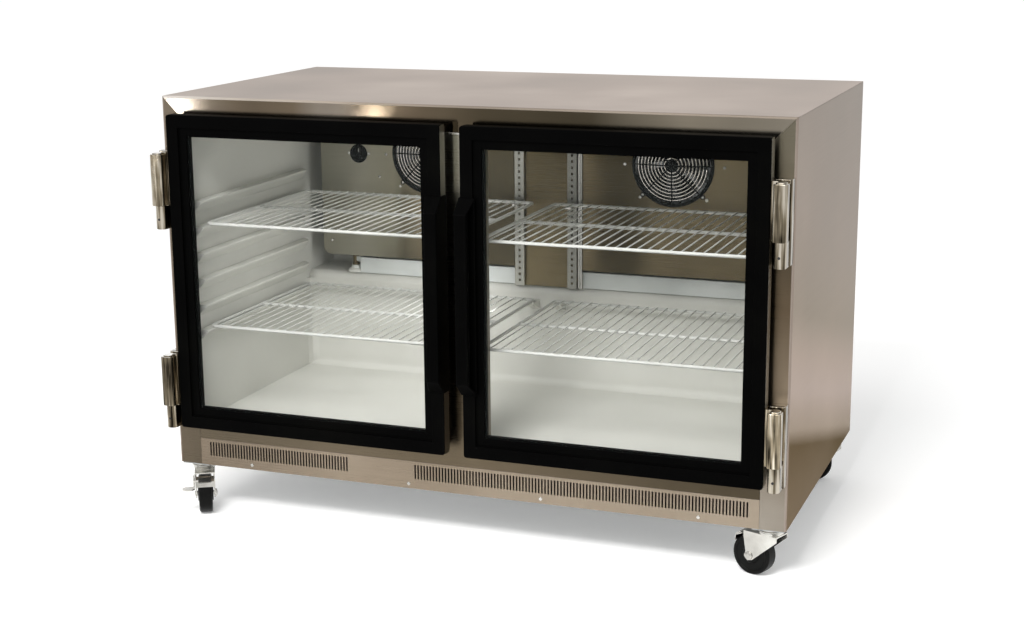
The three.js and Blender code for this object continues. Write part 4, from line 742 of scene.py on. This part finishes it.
def mullion_clip():
    """The small bright clip across the top of the mullion."""
    low, high = MULLION_CLIP
    bm = bmesh.new()
    box(bm, low, high)
    finished("mullion_clip", bm, "front_frame", LOOKS["zinc"], 0.4 * MM, replaces=False)


mullion_clip()


# Cold section

def centre_panel():
    """The panel between the covers, with its two pierced shelf standards and their clips."""
    low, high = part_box("center_back_panel")
    front = high.y - CENTRE_SHEET
    face = front - STANDARD_DEEP
    bm = bmesh.new()
    box(bm, (low.x, front, low.z), (high.x, high.y, high.z))
    finished("centre_panel_sheet", bm, "center_back_panel", look_of("center_back_panel"), 0.3 * MM)
    holes_wide, holes_high = STANDARD_HOLE
    top = high.z - STANDARD_LIP
    count = int((top - low.z - STANDARD_PITCH) / STANDARD_PITCH)
    bm = bmesh.new()
    for middle in STANDARD_PLACES:
        half = STANDARD_WIDTH / 2
        levels = [low.z]
        for at in range(count):
            start = low.z + STANDARD_PITCH * (at + STANDARD_START)
            levels += [start, start + holes_high]
        levels.append(top)
        rungs = [(front, -half), (face, -half), (face, -holes_wide / 2),
                 (face, holes_wide / 2), (face, half), (front, half)]
        gaps = {(at, 2) for at in range(1, len(levels) - 1, 2)}
        pierced_strip(bm, levels, rungs, gaps, lambda z, y, x, m=middle: Vector((m + x, y, z)))
    made = finished("shelf_standards", bm, "center_back_panel", LOOKS["standard_steel"], replaces=False)
    thickened(made, SHEET)
    bm = bmesh.new()
    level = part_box("right_upper_shelf")[0].z
    clip = [(face, level - CLIP_DROP[0]), (face, level), (low.y, level), (low.y, level - CLIP_DROP[1])]
    for x in STANDARD_PLACES:
        extrude(bm, [Vector((x - CLIP_HALF, y, z)) for y, z in clip], Vector((2 * CLIP_HALF, 0, 0)))
    finished("standard_clips", bm, "center_back_panel", LOOKS["zinc"], 0.4 * MM, replaces=False)
    bm = bmesh.new()
    for start, end in COVER_FLANGE:
        box(bm, (start, front - COVER_FLANGE_DEEP, low.z), (end, front, high.z))
    finished("cover_flange", bm, "center_back_panel", LOOKS["bright_steel"], 0.6 * MM, replaces=False)


def drain():
    """The flanged cup under the drain pipe at the left end of the tray."""
    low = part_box("drip_tray")[0]
    foot = Matrix.Translation((DRAIN_PLACE[0], DRAIN_PLACE[1], low.z))
    bm = bmesh.new()
    lathe(bm, metres(DRAIN_CUP), foot)
    finished("drain_cup", bm, "drip_tray", LOOKS["liner_white"], replaces=False)
    bm = bmesh.new()
    lathe(bm, metres(DRAIN_PIPE), foot)
    finished("drain_pipe", bm, "drip_tray", LOOKS["cover_steel"], replaces=False)


def cover_screws():
    """The screws that hold the evaporator covers."""
    for side, places in COVER_SCREWS.items():
        node = f"{side}_evaporator_cover"
        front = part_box(node)[0].y
        bm = bmesh.new()
        for x, z in places:
            screw(bm, (x * MM, front, z * MM), (0, -1, 0))
        finished(f"{side}_cover_screws", bm, node, LOOKS["zinc"], replaces=False)


def fan_guard(side):
    """Nine wire rings on eight spokes that rise to a small hub, in a flat band with four screwed lugs."""
    node = f"{side}_fan_guard"
    low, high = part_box(node)
    middle = Vector(((low.x + high.x) / 2, high.y, (low.z + high.z) / 2))
    turn = facing(middle, (0, -1, 0))
    bm = bmesh.new()
    closed_lathe(bm, [(GUARD_BAND_INNER, 0), (GUARD_BAND_OUTER - MM, 0), (GUARD_BAND_OUTER, MM),
                      (GUARD_BAND_OUTER, GUARD_BAND_DEEP - MM), (GUARD_BAND_OUTER - MM, GUARD_BAND_DEEP),
                      (GUARD_BAND_INNER, GUARD_BAND_DEEP)], turn, GUARD_SIDES)

    def height(radius):
        share = (GUARD_BAND_INNER - radius) / (GUARD_BAND_INNER - GUARD_HUB)
        return GUARD_BAND_DEEP + (GUARD_DOME - MM) * math.sin(share * math.pi / 2)

    def spot(radius, angle):
        return turn @ Vector((radius * math.cos(angle), radius * math.sin(angle), height(radius)))

    rings = bmesh.new()
    step = (GUARD_BAND_INNER - GUARD_FIRST_RING) / GUARD_RINGS
    for at in range(GUARD_RINGS):
        radius = GUARD_FIRST_RING + at * step
        path = [spot(radius, math.tau * a / GUARD_RING_STEPS) for a in range(GUARD_RING_STEPS)]
        sweep(rings, path, GUARD_WIRE / 2, closed=True, sides=6)
    reach = GUARD_BAND_INNER + 3 * MM - GUARD_HUB
    radii = [GUARD_HUB + reach * a / GUARD_SPOKE_STEPS for a in range(GUARD_SPOKE_STEPS + 1)]
    rise = turn.to_3x3() @ Vector((0, 0, GUARD_WIRE * 0.6))
    for at in range(GUARD_SPOKES):
        angle = math.tau * at / GUARD_SPOKES
        sweep(bm, [spot(radius, angle) + rise for radius in radii], GUARD_SPOKE_WIRE / 2, sides=8)
    peak = height(0)
    lathe(bm, [(0, peak - 2 * MM), (GUARD_HUB * 1.2, peak - 2 * MM), (GUARD_HUB * 1.2, peak),
               (GUARD_HUB, peak + MM), (0, peak + MM)], turn, 32)
    finished(f"{side}_guard_rings", rings, node, LOOKS["guard_wire"])
    finished(f"{side}_guard_frame", bm, node, LOOKS["black_plastic"], replaces=False)
    lugs, heads = bmesh.new(), bmesh.new()
    for at in range(GUARD_LUGS):
        spin = turn @ Matrix.Rotation(math.tau * (at + 0.5) / GUARD_LUGS, 4, "Z")
        tip = GUARD_LUG_REACH - GUARD_LUG_HALF
        outline = [(GUARD_BAND_OUTER - 4 * MM, -GUARD_LUG_HALF), *arc((tip, 0), GUARD_LUG_HALF, -90, 90, 8),
                   (GUARD_BAND_OUTER - 4 * MM, GUARD_LUG_HALF)]
        deep = spin.to_3x3() @ Vector((0, 0, GUARD_LUG_DEEP))
        extrude(lugs, [spin @ Vector((a, b, 0)) for a, b in outline], deep)
        screw(heads, spin @ Vector((tip, 0, GUARD_LUG_DEEP)), spin.to_3x3() @ Vector((0, 0, 1)), *GUARD_SCREW)
    finished(f"{side}_guard_lugs", lugs, node, LOOKS["black_plastic"], 0.3 * MM, replaces=False)
    finished(f"{side}_guard_screws", heads, node, LOOKS["zinc"], replaces=False)


def fan_blades(node, direction, tip, seat):
    """Twisted sheet blades on a turned hub."""
    turn = facing(seat, direction)
    bm = bmesh.new()
    lathe(bm, [(0, 0), (HUB_RADIUS - MM, 0), (HUB_RADIUS, MM), (HUB_RADIUS, HUB_LENGTH - 2 * MM),
               (HUB_RADIUS - 2 * MM, HUB_LENGTH), (0, HUB_LENGTH)], turn, 32)
    finished(f"{node}_hub", bm, node, LOOKS["black_paint"])
    root_share, gain, soon = BLADE_SWELL
    root = HUB_RADIUS * BLADE_ROOT_SHARE
    bm = bmesh.new()
    for blade in range(BLADES):
        rows = []
        for at in range(BLADE_STEPS + 1):
            share = at / BLADE_STEPS
            radius = root + (tip - root) * share
            pitch = math.radians(BLADE_ROOT_PITCH + (BLADE_TIP_PITCH - BLADE_ROOT_PITCH) * share)
            swell = root_share + gain * math.sin(math.pi * min(1, share * soon))
            half = math.radians(BLADE_HALF_ANGLE) * swell
            row = []
            for step in range(BLADE_STEPS + 1):
                across = (step / BLADE_STEPS * 2 - 1) * half
                angle = math.tau * blade / BLADES + across + BLADE_LEAN * share
                rise = HUB_LENGTH / 2 + radius * math.tan(pitch) * across * BLADE_CURL
                point = Vector((radius * math.cos(angle), radius * math.sin(angle), rise))
                row.append(bm.verts.new(turn @ point))
            rows.append(row)
        for one, two in zip(rows, rows[1:]):
            for at in range(BLADE_STEPS):
                bm.faces.new((one[at], one[at + 1], two[at + 1], two[at]))
    made = finished(f"{node}_sheet", bm, node, LOOKS["blade_metal"])
    sheet = made.modifiers.new("sheet", "SOLIDIFY")
    sheet.thickness, sheet.offset = BLADE_SHEET, 0.0


def wire_shelf(node):
    """Wires from front to back, welded on a heavier rounded frame and a middle cross bar."""
    low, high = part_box(node)
    bar = SHELF_BAR / 2
    level = low.z + bar
    left, right, front, back = low.x + bar, high.x - bar, low.y + bar, high.y - bar
    corners = [((right, front), -90), ((right, back), 0), ((left, back), 90), ((left, front), 180)]
    path = []
    for (x, y), start in corners:
        centre = (x - math.copysign(SHELF_CORNER, x - (low.x + high.x) / 2),
                  y - math.copysign(SHELF_CORNER, y - (low.y + high.y) / 2))
        path += [Vector((a, b, level)) for a, b in arc(centre, SHELF_CORNER, start, start + 90, 5)]
    bm = bmesh.new()
    sweep(bm, path, bar, closed=True, sides=12)
    middle = (low.y + high.y) / 2
    across = level - 0.6 * MM
    sweep(bm, [Vector((left, middle, across)), Vector((right, middle, across))], bar, sides=12)
    wire = SHELF_WIRE / 2
    top = level + bar - wire + SHELF_BUMP
    pitch = (right - left) / (SHELF_WIRES + 1)
    start, end = front - bar * SHELF_WIRE_END, back + bar * SHELF_WIRE_END
    for at in range(1, SHELF_WIRES + 1):
        x = left + at * pitch
        sweep(bm, [Vector((x, start, top)), Vector((x, end, top))], wire, sides=8)
    finished(f"{node}_wires", bm, node, LOOKS["white_wire"])


def thermostat():
    """The dial in its cup: a fluted knob with a grip across it and a pointer mark."""
    low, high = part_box("thermostat_bezel")
    middle = Vector(((low.x + high.x) / 2, low.y, (low.z + high.z) / 2))
    turn = facing(middle, (0, 1, 0))
    deep = high.y - low.y
    rim, neck = DIAL_CUP[0][0] * MM, DIAL_CUP[-1][0] * MM
    floor_level = deep - DIAL_CUP_FLOOR
    bm = bmesh.new()
    closed_lathe(bm, [*metres(DIAL_CUP), (neck, deep), (DIAL_CUP_BORE, deep), (DIAL_CUP_BORE, floor_level),
                      (rim, floor_level)], turn, 48)
    finished("thermostat_cup", bm, "thermostat_bezel", LOOKS["black_plastic"])
    low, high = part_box("thermostat_knob")
    turn = facing(Vector((middle.x, high.y, middle.z)), (0, -1, 0))
    bm = bmesh.new()
    lathe(bm, metres(DIAL), turn, 40)
    for at in range(DIAL_FLUTES):
        spin = turn @ Matrix.Rotation(math.tau * at / DIAL_FLUTES, 4, "Z")
        sweep(bm, [spin @ Vector(point) for point in metres(DIAL_FLUTE)], DIAL_FLUTE_RADIUS, sides=6)
    grip = [turn @ Vector((a, b, DIAL_GRIP_LEVEL)) for a, b in metres(DIAL_GRIP)]
    extrude(bm, grip, turn.to_3x3() @ Vector((0, 0, DIAL_GRIP_HIGH)))
    finished("thermostat_dial", bm, "thermostat_knob", LOOKS["black_plastic"], 0.4 * MM)
    bm = bmesh.new()
    box(bm, (middle.x - DIAL_MARK_HALF, low.y - DIAL_MARK_DEEP, middle.z + DIAL_MARK[0]),
        (middle.x + DIAL_MARK_HALF, low.y + DIAL_MARK_DEEP, middle.z + DIAL_MARK[1]))
    finished("thermostat_pointer", bm, "thermostat_knob", LOOKS["white_wire"], 0.05 * MM, replaces=False)


centre_panel()
drain()
cover_screws()
thermostat()
for side in SIDES:
    fan_guard(side)
    low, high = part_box(f"{side}_fan_guard")
    seat = Vector(((low.x + high.x) / 2, BLADE_SEAT, (low.z + high.z) / 2))
    fan_blades(f"{side}_fan_blades", (0, -1, 0), BLADE_TIP, seat)
    for level in ("upper", "lower"):
        wire_shelf(f"{side}_{level}_shelf")


# Hinges

def hinge(side, level):
    """A cam-lift hinge: leaf, barrel and pin on the cabinet, and the cover with its plates on the door."""
    sign = SIDES[side]
    leaf_node, cover_node = f"{side}_{level}_hinge_frame_leaf", f"{side}_{level}_hinge_door_leaf"
    low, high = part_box(leaf_node)
    cover_low, cover_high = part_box(cover_node)
    x, y = HINGE_AXIS
    # The right lower hinge's case and plates take a lighter copy of the chrome: painted light
    cover_look = LOOKS["lit_chrome" if (side, level) == ("right", "lower") else "chrome"]

    def at(a, b, z):
        return Vector((sign * a, b, z))

    bm = bmesh.new()
    inner_round, outer_round = HINGE_LEAF_ROUNDS
    inner, outer = HINGE_LEAF_EDGES
    leaf = [*arc(outer_round, HINGE_LEAF_CORNER, -90, 0, 4), (outer, high.y), (inner, high.y),
            *arc(inner_round, HINGE_LEAF_CORNER, 180, 270, 4)]
    extrude(bm, [at(a, b, low.z) for a, b in leaf], Vector((0, 0, high.z - low.z)))
    # Its upward faces take a lighter chrome: painted light on the tops
    finished(f"{leaf_node}_plate", bm, leaf_node, LOOKS["chrome"], 0.5 * MM, others=[(upward, "chrome_lit_top")])
    bm = bmesh.new()
    round_front = arc((x, y), HINGE_BARREL, 180, 360, 20)
    shell = [(x - HINGE_BARREL, HINGE_BARREL_BACK), *round_front, (x + HINGE_BARREL, HINGE_BARREL_BACK)]
    extrude(bm, [at(a, b, low.z) for a, b in shell], Vector((0, 0, HINGE_BARREL_HEIGHT)))
    lathe(bm, metres(HINGE_PIN), Matrix.Translation(at(x, y, low.z + HINGE_BARREL_HEIGHT - MM)), 24)
    finished(f"{leaf_node}_barrel", bm, leaf_node, LOOKS["chrome"], 0.6 * MM, replaces=False)

    bm = bmesh.new()
    (inner, front), (outer, back) = HINGE_RIDGE
    outline = [(inner, front), (outer, front), (outer, back), (inner, back)]
    extrude(bm, [at(a, b, high.z - HINGE_RIDGE_DEEP) for a, b in outline], Vector((0, 0, HINGE_RIDGE_DEEP)))
    # The ridge's upward face takes the lighter chrome too: painted light
    finished(f"{leaf_node}_ridge", bm, leaf_node, LOOKS["chrome"], 1.0 * MM, replaces=False,
             others=[(upward, "chrome_lit_top")])
    radius, rise = HINGE_HOLE
    bm = bmesh.new()
    lathe(bm, [(0, 0), (radius, 0), (radius, HINGE_HOLE_DEEP), (0, HINGE_HOLE_DEEP)],
          facing(at(x, y - HINGE_BARREL + HINGE_HOLE_SUNK, low.z + rise), (0, -1, 0)), 20)
    finished(f"{leaf_node}_hole", bm, leaf_node, LOOKS["black_paint"], replaces=False)

    def cover(bm, shrink, bottom, top):
        """One tier of the case, drawn in by a shrink."""
        radius = HINGE_COVER - shrink
        front = y - HINGE_COVER_FRONT + shrink
        corner = HINGE_COVER_CORNER
        outline = [*arc((x, y), radius, 0, 180, 12),
                   *arc((x - radius + corner, front + corner), corner, 180, 270, 6),
                   *arc((x + radius - corner, front + corner), corner, 270, 360, 6)]
        extrude(bm, [at(a, b, bottom) for a, b in outline], Vector((0, 0, top - bottom)))

    bm = bmesh.new()
    cover(bm, 0.0, cover_low.z, cover_high.z - HINGE_STEP)
    cover(bm, HINGE_NECK, cover_high.z - HINGE_STEP - MM, cover_high.z - MM)
    # The case's upward faces take the lighter chrome: painted light
    finished(f"{cover_node}_case", bm, cover_node, cover_look, 1.2 * MM, others=[(upward, "chrome_lit_top")])
    bm = bmesh.new()
    for inner, outer, front, back in metres(HINGE_PLATES):
        outline = [(inner, front), (outer, front), (outer, back), (inner, back)]
        extrude(bm, [at(a, b, cover_low.z) for a, b in outline], Vector((0, 0, cover_high.z - cover_low.z)))
    finished(f"{cover_node}_plate", bm, cover_node, cover_look, 0.4 * MM, replaces=False)


for side in SIDES:
    for level in ("upper", "lower"):
        hinge(side, level)


# Casters

def caster(corner):
    """A moulded wheel with its hub cap, the rings of the swivel, and the front casters' brake plate."""
    x, y, heading = CASTERS[corner]
    turn = math.radians(heading)
    ahead = Vector((math.cos(turn), math.sin(turn), 0))
    axle = Vector((-math.sin(turn), math.cos(turn), 0))
    kingpin = Vector((x * MM, y * MM, 0))
    centre = kingpin + ahead * WHEEL_TRAIL + Vector((0, 0, WHEEL_RADIUS))
    place = facing(centre, axle)
    node = f"{corner}_caster_wheel"
    angles = [math.radians(15 * at) for at in range(7)]
    tread = [(WHEEL_RADIUS - TREAD_ROUND + TREAD_ROUND * math.cos(a),
              WHEEL_HALF - TREAD_SHOULDER + TREAD_ROUND * math.sin(a)) for a in angles]
    right = [*tread, *[(radius, WHEEL_HALF - inset) for radius, inset in WHEEL_FACE]]
    left = [(radius, -height) for radius, height in reversed(right)]
    bm = bmesh.new()
    closed_lathe(bm, [*right, *left], place, WHEEL_SIDES)
    finished(f"{node}_tyre", bm, node, LOOKS["wheel_rubber"])
    bm = bmesh.new()
    closed_lathe(bm, metres(SWIVEL_RINGS), Matrix.Translation(kingpin), 48)
    finished(f"{corner}_swivel_rings", bm, "base_pan", LOOKS["zinc"], replaces=False)
    if corner.startswith("front"):
        bm = bmesh.new()
        across = (WHEEL_HALF + BRAKE_PLATE_OVERHANG) * axle
        for start, end in BRAKE_PLATE:
            low = kingpin + ahead * start[0] + Vector((0, 0, start[1]))
            high = kingpin + ahead * end[0] + Vector((0, 0, end[1]))
            sheet = (high - low).cross(axle).normalized() * BRAKE_PLATE_SHEET
            near, far = low - across, high - across
            extrude(bm, [near, far, far + sheet, near + sheet], 2 * across)
        fork = f"{corner}_caster_fork"
        finished(f"{corner}_brake_plate", bm, fork, LOOKS["zinc"], 0.4 * MM, replaces=False)


for corner in CASTERS:
    caster(corner)


# Floor, light and camera

def floor():
    """A wide pale floor, lit a little from itself where the camera and metal see it."""
    bm = bmesh.new()
    bmesh.ops.create_grid(bm, x_segments=1, y_segments=1, size=FLOOR_HALF)
    data = bpy.data.meshes.new("floor")
    bm.to_mesh(data)
    bm.free()
    pale = Finish("floor_pale", FLOOR_COLOUR, Roughness=0.9)
    pale.tint(pale.noise(0.8, detail=3), ("#f6f6f5", FLOOR_COLOUR, "#f8f8f7"))
    path = pale.node("ShaderNodeLightPath")
    seen = pale.node("ShaderNodeMath", {0: path.outputs["Is Camera Ray"], 1: path.outputs["Is Glossy Ray"]},
                     operation="ADD")
    glow = pale.node("ShaderNodeMath", {0: seen.outputs[0], 1: FLOOR_SEEN}, operation="MULTIPLY")
    pale.shader.inputs["Emission Color"].default_value = (1.0, 1.0, 1.0, 1.0)
    pale.tree.links.new(glow.outputs[0], pale.shader.inputs["Emission Strength"])
    data.materials.append(pale.material)
    made = bpy.data.objects.new("floor", data)
    bpy.context.scene.collection.objects.link(made)


def sky():
    """White where the camera, metal and glass see it, and a moderate light on everything else."""
    world = bpy.data.worlds.new("studio")
    bpy.context.scene.world = world
    world.use_nodes = True
    tree = world.node_tree
    back = tree.nodes["Background"]
    seen = tree.nodes.new("ShaderNodeLightPath")
    first = tree.nodes.new("ShaderNodeMath")
    second = tree.nodes.new("ShaderNodeMath")
    level = tree.nodes.new("ShaderNodeMapRange")
    first.operation = second.operation = "MAXIMUM"
    tree.links.new(seen.outputs["Is Camera Ray"], first.inputs[0])
    tree.links.new(seen.outputs["Is Glossy Ray"], first.inputs[1])
    tree.links.new(first.outputs[0], second.inputs[0])
    tree.links.new(seen.outputs["Is Transmission Ray"], second.inputs[1])
    tree.links.new(second.outputs[0], level.inputs["Value"])
    level.inputs["To Min"].default_value = SKY_LEVEL
    level.inputs["To Max"].default_value = 1.0
    tree.links.new(level.outputs[0], back.inputs["Strength"])
    back.inputs["Color"].default_value = (1, 1, 1, 1)


def lamps():
    """One soft sun, and the area lamps of the table above."""
    sun = bpy.data.lights.new("sun", "SUN")
    sun.energy, sun.angle = SUN_LEVEL, math.radians(SUN_SOFTNESS)
    made = bpy.data.objects.new("sun", sun)
    made.rotation_euler = [math.radians(a) for a in SUN_TURN]
    bpy.context.scene.collection.objects.link(made)
    for name, (place, aim, width, height, spread, watts) in PANELS.items():
        lamp = bpy.data.lights.new(name, "AREA")
        lamp.shape, lamp.size, lamp.size_y, lamp.energy = "RECTANGLE", width, height, watts
        lamp.spread = math.radians(spread)
        made = bpy.data.objects.new(name, lamp)
        made.location = place
        made.rotation_euler = (Vector(aim) - Vector(place)).to_track_quat("-Z", "Y").to_euler()
        made.visible_camera = False
        made.visible_glossy = name in MIRRORED
        bpy.context.scene.collection.objects.link(made)


def camera():
    """The photograph's point of view."""
    lens = bpy.data.cameras.new("camera")
    lens.lens, lens.sensor_width = CAMERA_LENS, 36.0
    lens.clip_end = 200.0
    made = bpy.data.objects.new("camera", lens)
    made.location = CAMERA_PLACE
    made.rotation_euler = [math.radians(a) for a in CAMERA_TURN]
    bpy.context.scene.collection.objects.link(made)
    bpy.context.scene.camera = made


floor()
sky()
lamps()
camera()
bpy.context.scene.view_settings.view_transform = "Standard"
